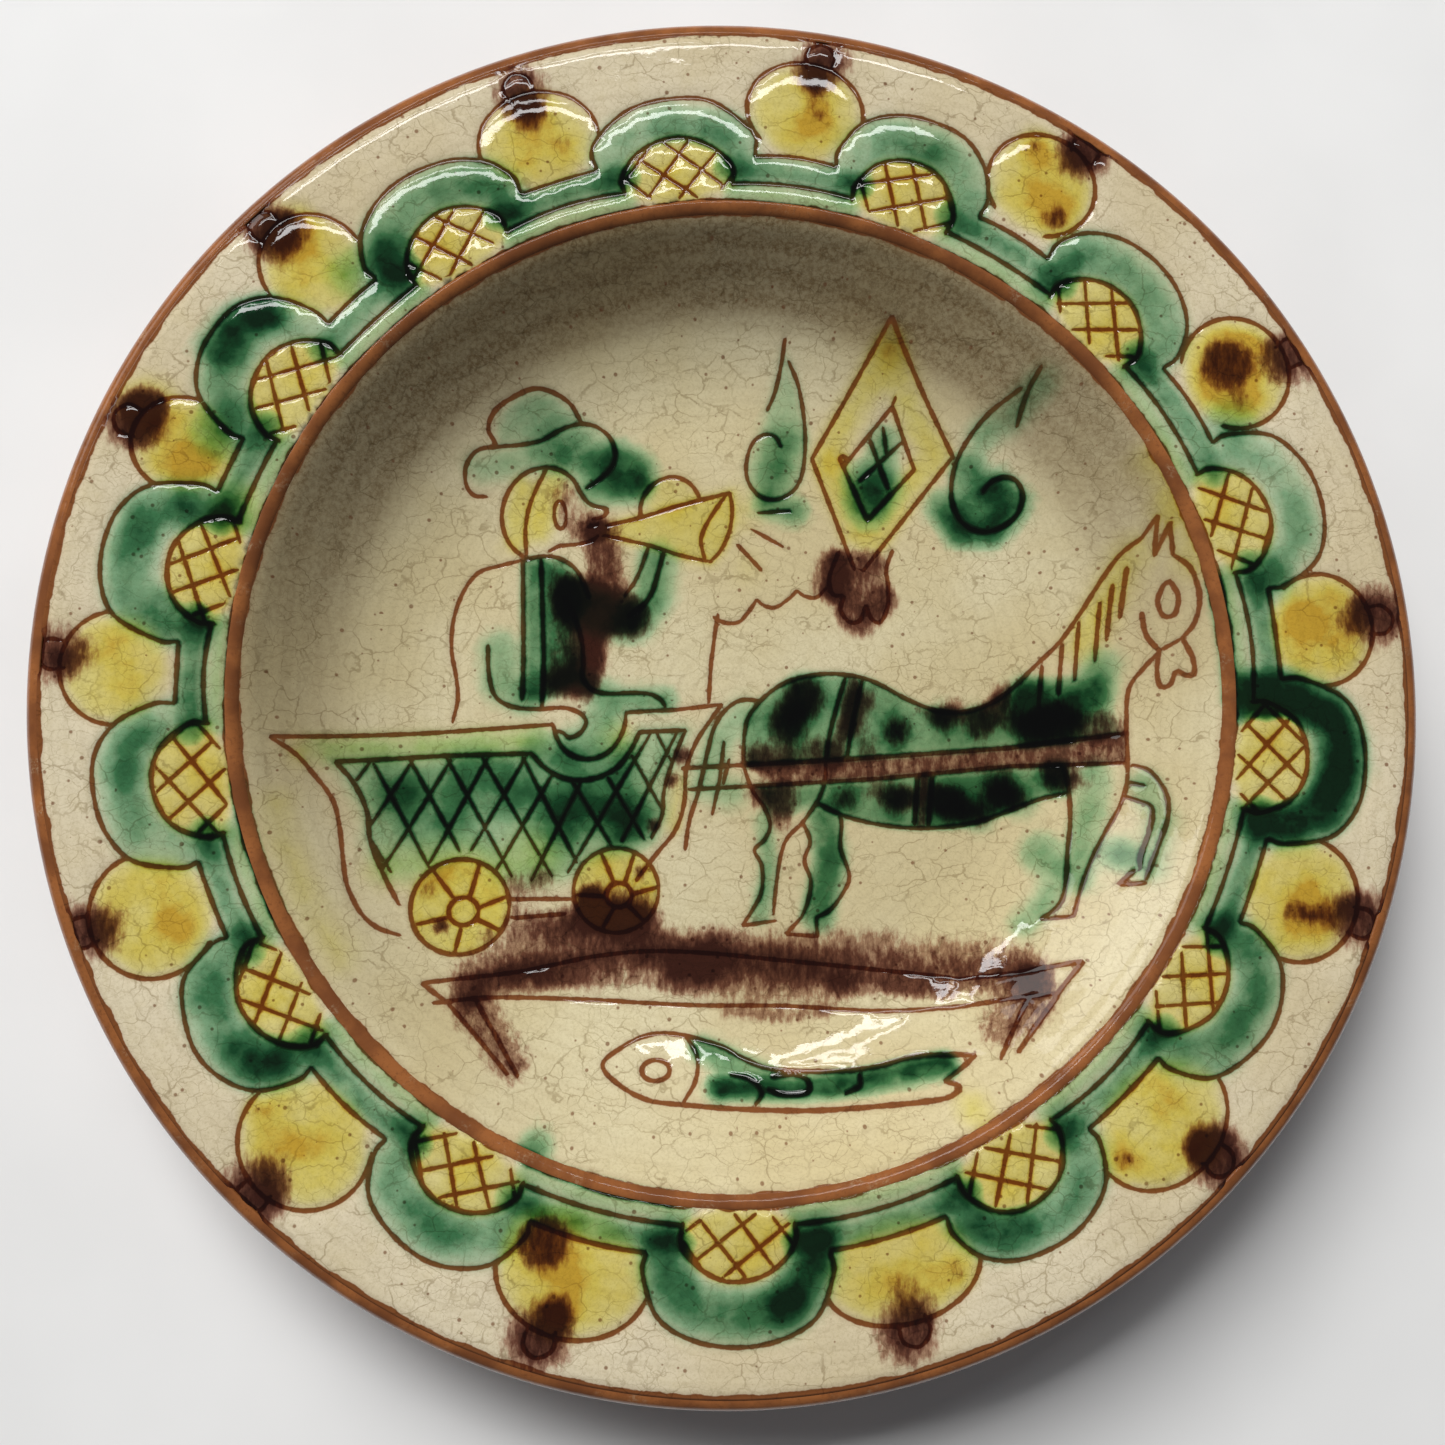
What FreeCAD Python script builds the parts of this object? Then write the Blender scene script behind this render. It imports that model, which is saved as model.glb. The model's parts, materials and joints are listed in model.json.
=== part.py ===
import FreeCAD, Part
import os

import Sketcher

# Hand painted earthenware plate: a thrown red clay body with a turned foot ring, two coats of
# white slip (one on the rim, one in the well) and one clear glaze coat over the whole upper face.
#
# Millimetres. +Z is up, the plate rests on z = 0, and the origin is the foot's centre.
# Every layer is a body of revolution about Z, so each outline below is half a cross section.

# Driving dimensions. Lengths are millimetres and angles are degrees.
DIMENSIONS = {
    "plate_diameter": 280.0,  # over the glazed lip
    "well_diameter": 201.2,  # where the rim and the well wall would meet in a sharp corner
    "well_depth": 21.0,  # from that corner down to the clay floor
    "wall_angle": 41.0,  # of the well wall above the horizontal
    "cove_radius": 50.0,  # between the well wall and its floor
    "rim_slope": 2.5,  # how much the rim rises outward
    "floor_thickness": 7.0,
    "wall_thickness": 6.0,
    "rim_thickness": 5.8,
    "rim_edge_radius": 3.0,  # convex edge between the rim and the well
    "lip_radius": 2.4,
    "under_radius": 9.0,  # concave edge under the rim
    "base_edge_radius": 5.0,  # convex edge where the outer wall meets the base
    "foot_inset": 13.5,  # of the foot ring inside the edge of the base
    "foot_width": 8.0,
    "foot_height": 5.0,
    "foot_edge_radius": 1.2,
    "slip_thickness": 0.4,
    "glaze_thickness": 0.25,
    "bare_ring_width": 2.4,  # clay scraped clean along the edge of the well
    "bare_lip_width": 2.8,  # clay wiped clean along the lip
}

# Heights and radii that several outlines share, as expressions of the sheet's cells.
FLOOR = "(D.foot_height + D.floor_thickness)"
CORNER_R = "(D.well_diameter / 2)"
CORNER_Z = f"({FLOOR} + D.well_depth)"
CLAY_R = "(D.plate_diameter / 2 - D.glaze_thickness)"
RING_IN = f"({CORNER_R} - D.bare_ring_width / 2)"
RING_OUT = f"({CORNER_R} + D.bare_ring_width / 2)"
SLIP_EDGE = "(D.plate_diameter / 2 - D.bare_lip_width)"
FULL_COAT = "(D.slip_thickness + D.glaze_thickness)"
# How far a coat's outline is sunk into the clay, which is cut away again afterwards.
SUNK = "(D.wall_thickness / 4)"


def rim_height(radius, above="0"):
    """Height of the rim's upper line at a radius, and so far above it, square to the rim."""
    return f"({CORNER_Z} + ({radius} - {CORNER_R}) * tan(D.rim_slope) + ({above}) / cos(D.rim_slope))"


def wall_height(radius, above="0"):
    """Height of the well wall's line at a radius, and so far above it, square to the wall."""
    return f"({CORNER_Z} - ({CORNER_R} - {radius}) * tan(D.wall_angle) + ({above}) / cos(D.wall_angle))"


def wall_radius(height, above="0"):
    """Radius of the well wall's line at a height, and so far above it, square to the wall."""
    return f"({CORNER_R} - ({CORNER_Z} - ({height})) / tan(D.wall_angle) - ({above}) / sin(D.wall_angle))"


def rim_meets_wall(above_rim, above_wall):
    """(radius, height) where a line parallel to the rim crosses one parallel to the well wall."""
    lift = f"(({above_wall}) / cos(D.wall_angle) - ({above_rim}) / cos(D.rim_slope))"
    radius = f"({CORNER_R} - {lift} / (tan(D.wall_angle) - tan(D.rim_slope)))"
    return radius, rim_height(radius, above_rim)


# Where the outer wall meets the base, and the foot ring's outer side, which keeps inside it.
BASE_R = wall_radius("D.foot_height", "-D.wall_thickness")
FOOT_R = f"({BASE_R} - D.foot_inset)"


def make_sheet(doc):
    """The spreadsheet of driving dimensions, one row each with its alias."""
    sheet = doc.addObject("Spreadsheet::Sheet", "D")
    for row, (name, value) in enumerate(DIMENSIONS.items(), start=1):
        sheet.set(f"A{row}", name)
        sheet.set(f"B{row}", str(value))
        sheet.setAlias(f"B{row}", name)
    doc.recompute()
    return sheet


def turned_body(doc, sheet, label, corners):
    """A body turned about Z from a closed outline of (radius, height) expressions."""
    body = doc.addObject("PartDesign::Body", label)
    body.Label = label
    sketch = body.newObject("Sketcher::SketchObject", label + "_outline")
    plane = next(f for f in body.Origin.OriginFeatures if f.Role == "XZ_Plane")
    sketch.AttachmentSupport = [(plane, "")]
    sketch.MapMode = "FlatFace"
    points = [
        FreeCAD.Vector(*(float(sheet.evalExpression(e)) for e in corner), 0) for corner in corners
    ]
    count = len(points)
    for i in range(count):
        sketch.addGeometry(Part.LineSegment(points[i], points[(i + 1) % count]), False)
    for i in range(count):
        sketch.addConstraint(Sketcher.Constraint("Coincident", i, 2, (i + 1) % count, 1))
    for i, corner in enumerate(corners):
        for kind, value, expression in zip(("DistanceX", "DistanceY"), points[i], corner):
            on_axis = kind == "DistanceX" and expression == "0"
            if on_axis:
                sketch.addConstraint(Sketcher.Constraint("PointOnObject", i, 1, -2))
                continue
            index = sketch.addConstraint(Sketcher.Constraint(kind, -1, 1, i, 1, value))
            sketch.setExpression(f"Constraints[{index}]", expression)
    turning = body.newObject("PartDesign::Revolution", label + "_turning")
    turning.Profile = sketch
    turning.ReferenceAxis = (sketch, ["V_Axis"])
    turning.Angle = 360
    doc.recompute()
    return body


def round_edges(doc, sheet, body, radius, corners):
    """Rounds the circular edges of a turned body that pass through these (radius, height) corners."""
    base = body.Tip
    wanted = [tuple(float(sheet.evalExpression(e)) for e in corner) for corner in corners]
    names = []
    for r, z in wanted:
        found = [
            f"Edge{n}"
            for n, edge in enumerate(base.Shape.Edges, start=1)
            if isinstance(edge.Curve, Part.Circle)
            and abs(edge.Curve.Radius - r) < 1e-4
            and abs(edge.Curve.Center.z - z) < 1e-4
        ]
        if len(found) != 1:
            raise ValueError(f"{body.Label}: {len(found)} edges at radius {r}, height {z}")
        names += found
    fillet = body.newObject("PartDesign::Fillet", body.Label + "_rounding")
    fillet.Base = (base, names)
    fillet.setExpression("Radius", radius)
    body.Tip = fillet
    doc.recompute()


def cut_from(doc, label, coat, tools):
    """The coat with everything that lies under it cut away."""
    if len(tools) == 1:
        tool = tools[0]
    else:
        tool = doc.addObject("Part::MultiFuse", label + "_ground")
        tool.Shapes = tools
    cut = doc.addObject("Part::Cut", label)
    cut.Label = label
    cut.Base = coat
    cut.Tool = tool
    doc.recompute()
    return cut


def clay_body(doc, sheet):
    """The thrown and turned clay: floor, well wall, rim, rounded lip and foot ring."""
    under_corner = rim_meets_wall("-D.rim_thickness", "-D.wall_thickness")
    base_edge = (BASE_R, "D.foot_height")
    lip_top = (CLAY_R, rim_height(CLAY_R))
    lip_bottom = (CLAY_R, rim_height(CLAY_R, "-D.rim_thickness"))
    foot_in = f"({FOOT_R} - D.foot_width)"
    well_corner = (wall_radius(FLOOR), FLOOR)
    rim_corner = (CORNER_R, CORNER_Z)
    foot_corners = [(foot_in, "0"), (FOOT_R, "0")]
    body = turned_body(
        doc,
        sheet,
        "clay_body",
        [
            ("0", "D.foot_height"),
            (foot_in, "D.foot_height"),
            *foot_corners,
            (FOOT_R, "D.foot_height"),
            base_edge,
            under_corner,
            lip_bottom,
            lip_top,
            rim_corner,
            well_corner,
            ("0", FLOOR),
        ],
    )
    round_edges(doc, sheet, body, "D.cove_radius", [well_corner])
    round_edges(doc, sheet, body, "D.rim_edge_radius", [rim_corner])
    round_edges(doc, sheet, body, "D.lip_radius", [lip_top, lip_bottom])
    round_edges(doc, sheet, body, "D.under_radius", [under_corner])
    round_edges(doc, sheet, body, "D.base_edge_radius", [base_edge])
    round_edges(doc, sheet, body, "D.foot_edge_radius", foot_corners)
    return body


def rim_slip(doc, sheet, clay):
    """White slip on the rim, from the bare ring to the bare lip."""
    coat = turned_body(
        doc,
        sheet,
        "rim_slip_coat",
        [
            (RING_OUT, rim_height(RING_OUT, f"-{SUNK}")),
            (SLIP_EDGE, rim_height(SLIP_EDGE, f"-{SUNK}")),
            (SLIP_EDGE, rim_height(SLIP_EDGE, "D.slip_thickness")),
            (RING_OUT, rim_height(RING_OUT, "D.slip_thickness")),
        ],
    )
    return cut_from(doc, "rim_slip", coat, [clay])


def well_slip(doc, sheet, clay):
    """White slip in the well, over its floor, cove and wall, up to the bare ring."""
    top = f"({FLOOR} + D.slip_thickness)"
    sunk_floor = f"({FLOOR} - {SUNK})"
    inner_corner = (wall_radius(top, "D.slip_thickness"), top)
    coat = turned_body(
        doc,
        sheet,
        "well_slip_coat",
        [
            ("0", sunk_floor),
            (wall_radius(sunk_floor, f"-{SUNK}"), sunk_floor),
            (RING_IN, wall_height(RING_IN, f"-{SUNK}")),
            (RING_IN, wall_height(RING_IN, "D.slip_thickness")),
            inner_corner,
            ("0", top),
        ],
    )
    round_edges(doc, sheet, coat, "D.cove_radius - D.slip_thickness", [inner_corner])
    return cut_from(doc, "well_slip", coat, [clay])


def glaze_coat(doc, sheet, clay, slips):
    """Clear glaze over both slips, the bare ring and the lip, ending half way down the lip."""
    outer = "(D.plate_diameter / 2)"
    top = f"({FLOOR} + {FULL_COAT})"
    sunk_floor = f"({FLOOR} - {SUNK})"
    inner_corner = (wall_radius(top, FULL_COAT), top)
    rim_corner = rim_meets_wall(FULL_COAT, FULL_COAT)
    lip_corner = (outer, rim_height(outer, FULL_COAT))
    glaze_end = rim_height(CLAY_R, "-D.rim_thickness / 2")
    sunk_rim = rim_meets_wall(f"-{SUNK}", f"-{SUNK}")
    inside_lip = f"({CLAY_R} - D.rim_thickness / 2)"
    coat = turned_body(
        doc,
        sheet,
        "glaze_outline",
        [
            ("0", sunk_floor),
            (wall_radius(sunk_floor, f"-{SUNK}"), sunk_floor),
            sunk_rim,
            (inside_lip, rim_height(inside_lip, f"-{SUNK}")),
            (inside_lip, glaze_end),
            (outer, glaze_end),
            lip_corner,
            rim_corner,
            inner_corner,
            ("0", top),
        ],
    )
    round_edges(doc, sheet, coat, f"D.cove_radius - {FULL_COAT}", [inner_corner])
    round_edges(doc, sheet, coat, f"D.rim_edge_radius + {FULL_COAT}", [rim_corner])
    round_edges(doc, sheet, coat, "D.lip_radius + D.glaze_thickness", [lip_corner])
    return cut_from(doc, "glaze_coat", coat, [clay, *slips])


def check(doc, parts):
    """Stops if any object failed to build or any sub-part isn't one sound solid."""
    for item in doc.Objects:
        if "Invalid" in item.State or "Error" in item.State:
            raise RuntimeError(f"{item.Label} failed to build: {item.State}")
    for part in parts:
        shape = part.Shape
        if shape.isNull() or not shape.isValid() or len(shape.Solids) != 1:
            raise RuntimeError(f"{part.Label} isn't one valid solid")
        box = shape.optimalBoundingBox()
        print(f"{part.Label}: {shape.Volume / 1000:.1f} cm3, {box.XLength:.2f} mm wide, top {box.ZMax:.2f} mm")


def main():
    doc = FreeCAD.newDocument("plate")
    sheet = make_sheet(doc)
    clay = clay_body(doc, sheet)
    slips = [rim_slip(doc, sheet, clay), well_slip(doc, sheet, clay)]
    glaze = glaze_coat(doc, sheet, clay, slips)
    parts = [clay, *slips, glaze]
    doc.recompute()
    check(doc, parts)
    os.makedirs("parts", exist_ok=True)
    for part in parts:
        part.Shape.exportStep(f"parts/{part.Label}.step")


main()
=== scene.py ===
import json
import math
from functools import partial

import bmesh
import bpy
import numpy as np
from mathutils import Matrix, Vector
from mathutils.geometry import delaunay_2d_cdt


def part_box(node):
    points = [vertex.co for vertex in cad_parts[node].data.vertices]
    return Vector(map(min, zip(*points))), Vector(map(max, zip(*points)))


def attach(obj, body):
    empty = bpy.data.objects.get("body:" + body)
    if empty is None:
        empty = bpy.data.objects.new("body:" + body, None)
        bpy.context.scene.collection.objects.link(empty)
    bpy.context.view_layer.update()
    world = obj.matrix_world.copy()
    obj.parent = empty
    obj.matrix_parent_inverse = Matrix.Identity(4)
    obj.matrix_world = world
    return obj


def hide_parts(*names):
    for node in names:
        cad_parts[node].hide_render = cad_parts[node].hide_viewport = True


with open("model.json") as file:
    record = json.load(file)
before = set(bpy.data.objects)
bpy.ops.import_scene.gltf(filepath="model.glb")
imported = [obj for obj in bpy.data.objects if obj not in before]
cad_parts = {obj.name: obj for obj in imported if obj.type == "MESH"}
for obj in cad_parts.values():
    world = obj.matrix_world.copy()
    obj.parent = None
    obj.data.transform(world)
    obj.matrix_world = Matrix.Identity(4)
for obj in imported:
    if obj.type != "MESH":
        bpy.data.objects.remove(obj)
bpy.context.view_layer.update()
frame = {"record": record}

# The painted plate's looks. Plan sizes are millimetres on the plate seen from above, with +X to
# the right of the painted scene and +Y to its top, and meshes are made in metres at the very end.
MM = 0.001
rng = np.random.default_rng(7)

# ---------------------------------------------------------------- sizes from the frame
PLATE_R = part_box("glaze_coat")[1][0] / MM
BODY_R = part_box("clay_body")[1][0] / MM
RIM_SLIP_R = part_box("rim_slip")[1][0] / MM
WELL_SLIP_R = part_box("well_slip")[1][0] / MM
FLOOR_Z = next(m for m in frame["record"]["mounts"] if m["name"] == "well_floor")["pos_m"][2] / MM

# ---------------------------------------------------------------- the plate's other dimensions
WALL_ANGLE = math.radians(41.0)
RIM_SLOPE = math.radians(2.5)
WELL_DEPTH = 21.0
BARE_RING = 2.4
COAT = 0.65  # slip and glaze together
COVE_R = 50.0 - COAT
EDGE_R = 3.0 + COAT
LIP_R = 2.4
RIM_THICK = 5.8
WALL_THICK = 6.0
UNDER_R = 9.0
BASE_EDGE_R = 5.0
FOOT_HEIGHT = 5.0
FOOT_WIDTH = 8.0
FOOT_INSET = 13.5
FOOT_EDGE_R = 1.2
CORNER_R = WELL_SLIP_R + BARE_RING / 2
CORNER_Z = FLOOR_Z - COAT + WELL_DEPTH
RING_R = WELL_SLIP_R + BARE_RING  # where the rim slip starts
LIP_MID_R = BODY_R - LIP_R
LIP_MID_Z = CORNER_Z + (LIP_MID_R - CORNER_R) * math.tan(RIM_SLOPE) - LIP_R

# where the white slip is wiped back to, a little inside each coat's edge
WELL_EDGE_R = WELL_SLIP_R - 0.15
RING_EDGE_R = RING_R + 0.15
LIP_EDGE_R = RIM_SLIP_R - 0.7


# ---------------------------------------------------------------- the face's cross section
def rim_line(r):
    """Height of the glazed rim's straight line."""
    return CORNER_Z + (r - CORNER_R) * math.tan(RIM_SLOPE) + COAT / math.cos(RIM_SLOPE)


def wall_line(r):
    """Height of the glazed well wall's straight line."""
    return CORNER_Z - (CORNER_R - r) * math.tan(WALL_ANGLE) + COAT / math.cos(WALL_ANGLE)


def face_height(r):
    """Height of the glazed face at a radius: flat floor, cove, wall, rounded edge, rim."""
    r = np.asarray(r, float)
    wall_foot = CORNER_R - (wall_line(CORNER_R) - FLOOR_Z) / math.tan(WALL_ANGLE)
    reach = COVE_R * math.tan(WALL_ANGLE / 2)
    cove_in, cove_out = wall_foot - reach, wall_foot + reach * math.cos(WALL_ANGLE)
    cove = FLOOR_Z + COVE_R - np.sqrt(np.maximum(COVE_R**2 - (r - cove_in) ** 2, 0))
    height = np.where(r < cove_in, FLOOR_Z, np.where(r < cove_out, cove, wall_line(r)))
    lift = wall_line(CORNER_R) - rim_line(CORNER_R)
    meet = CORNER_R - lift / (math.tan(WALL_ANGLE) - math.tan(RIM_SLOPE))
    reach = EDGE_R * math.tan((WALL_ANGLE - RIM_SLOPE) / 2)
    edge_in, edge_out = meet - reach * math.cos(WALL_ANGLE), meet + reach * math.cos(RIM_SLOPE)
    centre_r = edge_out + EDGE_R * math.sin(RIM_SLOPE)
    centre_z = rim_line(edge_out) - EDGE_R * math.cos(RIM_SLOPE)
    edge = centre_z + np.sqrt(np.maximum(EDGE_R**2 - (r - centre_r) ** 2, 0))
    height = np.where(r > edge_in, edge, height)
    return np.where(r > edge_out, rim_line(r), height)


def face_normal(plan):
    """Unit normals of the plain face at plan points."""
    r = np.hypot(*plan.T)
    slope = (face_height(r + 0.05) - face_height(r - 0.05)) / 0.1
    out = plan / np.maximum(r, 1e-6)[:, None]
    normal = np.column_stack([-slope[:, None] * out, np.ones(len(plan))])
    return normal / np.linalg.norm(normal, axis=1)[:, None]


# ---------------------------------------------------------------- drawing in plan
LINE = 0.46  # half the width of a stylus line
HATCH_LINE = 0.34
SAMPLE = 0.9  # between the samples of a round stroke


def curve(*points, closed=False):
    """A smooth line through points, sampled about every millimetre."""
    p = np.array(points, float)
    before, after = (p[-1], p[:2]) if closed else (2 * p[0] - p[1], 2 * p[-1:] - p[-2:-1])
    p = np.vstack([before, p, after])
    out = []
    for a, b, c, d in zip(p, p[1:], p[2:], p[3:]):
        steps = max(2, int(np.linalg.norm(c - b) / SAMPLE) + 1)
        t = np.linspace(0, 1, steps, endpoint=False)[:, None]
        out.append(b + 0.5 * t * (c - a + t * (2 * a - 5 * b + 4 * c - d + t * (3 * (b - c) + d - a))))
    return np.vstack([*out, p[-2:-1]])


def line(*points, closed=False):
    """Straight runs through points, sampled about every millimetre."""
    p = np.array([*points, points[0]] if closed else points, float)
    out = [
        b + (c - b) * np.linspace(0, 1, max(1, int(np.linalg.norm(c - b))), endpoint=False)[:, None]
        for b, c in zip(p, p[1:])
    ]
    return np.vstack([*out, p[-1:]])


def oval(x, y, across, up, turn=0.0):
    """An oval about (x, y)."""
    steps = max(8, int(2 * math.pi * max(across, up) / SAMPLE))
    a = np.linspace(0, 2 * math.pi, steps + 1)
    return turned(np.column_stack([across * np.cos(a), up * np.sin(a)]), turn) + (x, y)


def turned(points, degrees):
    """Points turned about the origin."""
    c, s = math.cos(math.radians(degrees)), math.sin(math.radians(degrees))
    return np.asarray(points, float) @ np.array([[c, s], [-s, c]])


def inside(points, outline):
    """Which points lie inside a closed outline."""
    x, y = points.T
    hit = np.zeros(len(points), bool)
    for (ax, ay), (bx, by) in zip(outline, np.roll(outline, -1, axis=0)):
        if ay != by:
            hit ^= ((ay > y) != (by > y)) & (x < (bx - ax) * (y - ay) / (by - ay) + ax)
    return hit


def parts_where(stroke, keep, shortest=2):
    """The stretches of a stroke whose points are kept, without the shortest."""
    cuts = np.flatnonzero(np.diff(keep)) + 1
    stretches = zip(np.split(stroke, cuts), np.split(keep, cuts))
    return [part for part, kept in stretches if kept[0] and len(part) >= shortest]


class Drawing:
    """Engraved strokes and the stains brushed over them."""

    def __init__(self):
        self.strokes, self.stains = [], []
        self.green, self.yellow, self.brown = (partial(self.brush, tone) for tone in STAINS)

    def engrave(self, *strokes, half=LINE):
        for stroke in strokes:
            self.strokes.append((stroke, half * rng.uniform(0.93, 1.1)))

    def brush(self, tone, strength, radius, soft, *path):
        """A stain along a path or at one point, so far each side of it, fading over soft."""
        if len(path) == 1:
            path = [path[0], np.add(path[0], (0.01, 0))]
        self.stains.append((tone, strength, np.asarray(path, float), radius, soft, False))

    def fill(self, tone, strength, outline, grow=0.0, soft=2.5):
        """A stain that fills an outline."""
        self.stains.append((tone, strength, np.asarray(outline, float), grow, soft, True))


def hatch(art, outline, angle, pitch, shift=0.0, half=HATCH_LINE):
    """Straight lines at one angle across an outline."""
    middle = outline.mean(0)
    reach = np.linalg.norm(outline - middle, axis=1).max()
    for offset in np.arange(-reach + shift, reach, pitch):
        wobble = rng.uniform(-3, 3)
        run = line(*turned([(-reach, offset), (reach, offset)], angle + wobble) + middle)
        art.engrave(*parts_where(run, inside(run, outline), shortest=5), half=half)


# ---------------------------------------------------------------- the border
# One repeat of the border, clockwise from the top. Each has a hatched half-round standing on the
# ring under a green scallop arch, and then a ball with a cap between this arch and the next.
REPEATS = [
    # ball: angle, radius of its centre, half width, half height, cap's side shift;
    # arch: half width, height; how dark the arch's green and the ball's yellow are
    dict(ball=(83.6, 121.6, 12.2, 10.2, 2.2), arch=(16.5, 21.8), green=0.35, yellow=0.46),
    dict(ball=(59.3, 123.6, 11.6, 10.6, 4.5), arch=(15.8, 24.2), green=0.37, yellow=0.54),
    dict(ball=(32.9, 123.0, 11.8, 11.2, 3.0), arch=(16.6, 23.7), green=0.43, yellow=0.62),
    dict(ball=(6.2, 120.3, 11.6, 10.8, -0.5), arch=(16.2, 25.5), green=0.25, yellow=0.74),
    dict(ball=(-20.4, 121.0, 12.6, 11.6, 0.5), arch=(16.5, 27.0), green=0.92, yellow=0.55),
    dict(ball=(-45.8, 119.8, 14.6, 12.0, -2.5), arch=(16.0, 24.5), green=0.53, yellow=0.54),
    dict(ball=(-74.6, 117.6, 15.8, 10.4, 1.0), arch=(16.6, 24.0), green=0.55, yellow=0.50),
    dict(ball=(-106.0, 117.6, 15.0, 12.4, 3.0), arch=(18.0, 25.7), green=0.65, yellow=0.52),
    dict(ball=(-133.6, 121.6, 13.0, 12.2, 0.5), arch=(16.0, 24.0), green=0.41, yellow=0.56),
    dict(ball=(-158.6, 122.4, 12.2, 11.8, 2.0), arch=(15.0, 24.7), green=0.54, yellow=0.56),
    dict(ball=(-181.6, 122.6, 11.2, 10.6, 2.5), arch=(15.7, 25.8), green=0.36, yellow=0.50),
    dict(ball=(-203.4, 120.8, 9.6, 10.4, 0.5), arch=(15.5, 27.0), green=0.64, yellow=0.66),
    dict(ball=(-224.6, 121.4, 10.4, 11.2, -1.0), arch=(14.4, 26.0), green=0.35, yellow=0.47),
    dict(ball=(-249.8, 120.2, 12.4, 10.4, 0.0), arch=(17.3, 23.0), green=0.47, yellow=0.42),
]
VALLEY_V = 8.4  # the scallop outline's lowest line above the ring's outer edge
BAND_V = 3.5  # the green band's lower line above the ring's outer edge
HALF_ROUND = (10.8, 14.0)  # half width and height


def on_ring(points, angle):
    """Local points, (sideways clockwise, outward from the ring), placed at an angle round the plate."""
    p = np.asarray(points, float)
    return turned(np.column_stack([p[:, 0], p[:, 1] + RING_R]), angle - 90)


def round_ring(start, end, v, wave=0.0):
    """A line round the plate between two angles, so far out from the ring."""
    steps = max(3, int(math.radians(abs(end - start)) * (RING_R + v)))
    a = np.radians(np.linspace(start, end, steps + 1))
    r = RING_R + v + wave * np.sin(np.linspace(0, math.pi, steps + 1))
    return np.column_stack([r * np.cos(a), r * np.sin(a)])


def angle_of(point, near=0.0):
    """A plan point's angle round the plate in degrees, within half a turn of another angle."""
    angle = math.degrees(math.atan2(point[1], point[0]))
    return angle - 360 * round((angle - near) / 360)


def border(art):
    """All fourteen repeats."""
    count = len(REPEATS)
    balls = [rep["ball"][0] for rep in REPEATS]
    tops = [(balls[i] + (balls[i - 1] if i else balls[-1] + 360)) / 2 for i in range(count)]
    arches, rounds = [], []
    for top, rep in zip(tops, REPEATS):
        wide, high = rep["arch"]
        left, right = rng.uniform(-0.6, 0.6, 2)
        shape = curve(
            (-wide, VALLEY_V),
            (-wide - 0.6, 12.0 + left),
            (-wide * 0.86, high - 5.6),
            (-wide * 0.48, high - 1.4),
            (left, high),
            (wide * 0.5, high - 1.5 + right),
            (wide * 0.87, high - 5.8),
            (wide + 0.5, 12.0 + right),
            (wide, VALLEY_V),
        )
        arches.append(on_ring(shape, top))
        half, tall = HALF_ROUND
        half += rng.uniform(-0.4, 0.7)
        tall += rng.uniform(-1.0, 1.0)
        shape = curve(
            (-half, 2.6),
            (-half - 0.3, 6.0),
            (-half * 0.78, tall - 3.4),
            (-half * 0.36, tall - 0.6),
            (half * 0.2, tall),
            (half * 0.7, tall - 2.6),
            (half + 0.2, 6.6),
            (half - 0.2, 2.6),
        )
        rounds.append(on_ring(shape, top))
    for i, rep in enumerate(REPEATS):
        after = (i + 1) % count
        art.engrave(arches[i], rounds[i])
        arch_end = angle_of(arches[i][-1])
        next_start = angle_of(arches[after][0], near=arch_end)
        art.engrave(round_ring(arch_end, next_start, VALLEY_V + 1.0, wave=rng.uniform(-0.3, 0.5)))
        round_end = angle_of(rounds[i][-1])
        next_round = angle_of(rounds[after][0], near=round_end)
        art.engrave(round_ring(round_end, next_round, BAND_V, wave=rng.uniform(-0.2, 0.7)))
        half_round(art, tops[i], rounds[i], rep["green"])
        scallop_green(art, tops[i], rep, round_end, next_round)
        ball(art, rep, arches[i], arches[after])


def half_round(art, top, outline, green):
    """The yellow hatched half-round under an arch, which holds off most of the arch's green."""
    closed = np.vstack([outline, on_ring([(4, 0.6), (-4, 0.6)], top)])
    turn = rng.uniform(-12, 12)
    hatch(art, closed, top - 90 + 42 + turn, 5.6, shift=rng.uniform(1.5, 4), half=0.38)
    hatch(art, closed, top - 90 - 46 + turn, 5.6, shift=rng.uniform(1.5, 4), half=0.38)
    art.fill("yellow", 0.43, closed, grow=0.2, soft=2.2)
    art.fill("green", -0.55 * green, closed, grow=-0.5, soft=2)
    spot = on_ring([(rng.uniform(-4, 4), rng.uniform(4, 9))], top)[0]
    art.yellow(0.22, 4, 4, spot)


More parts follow.
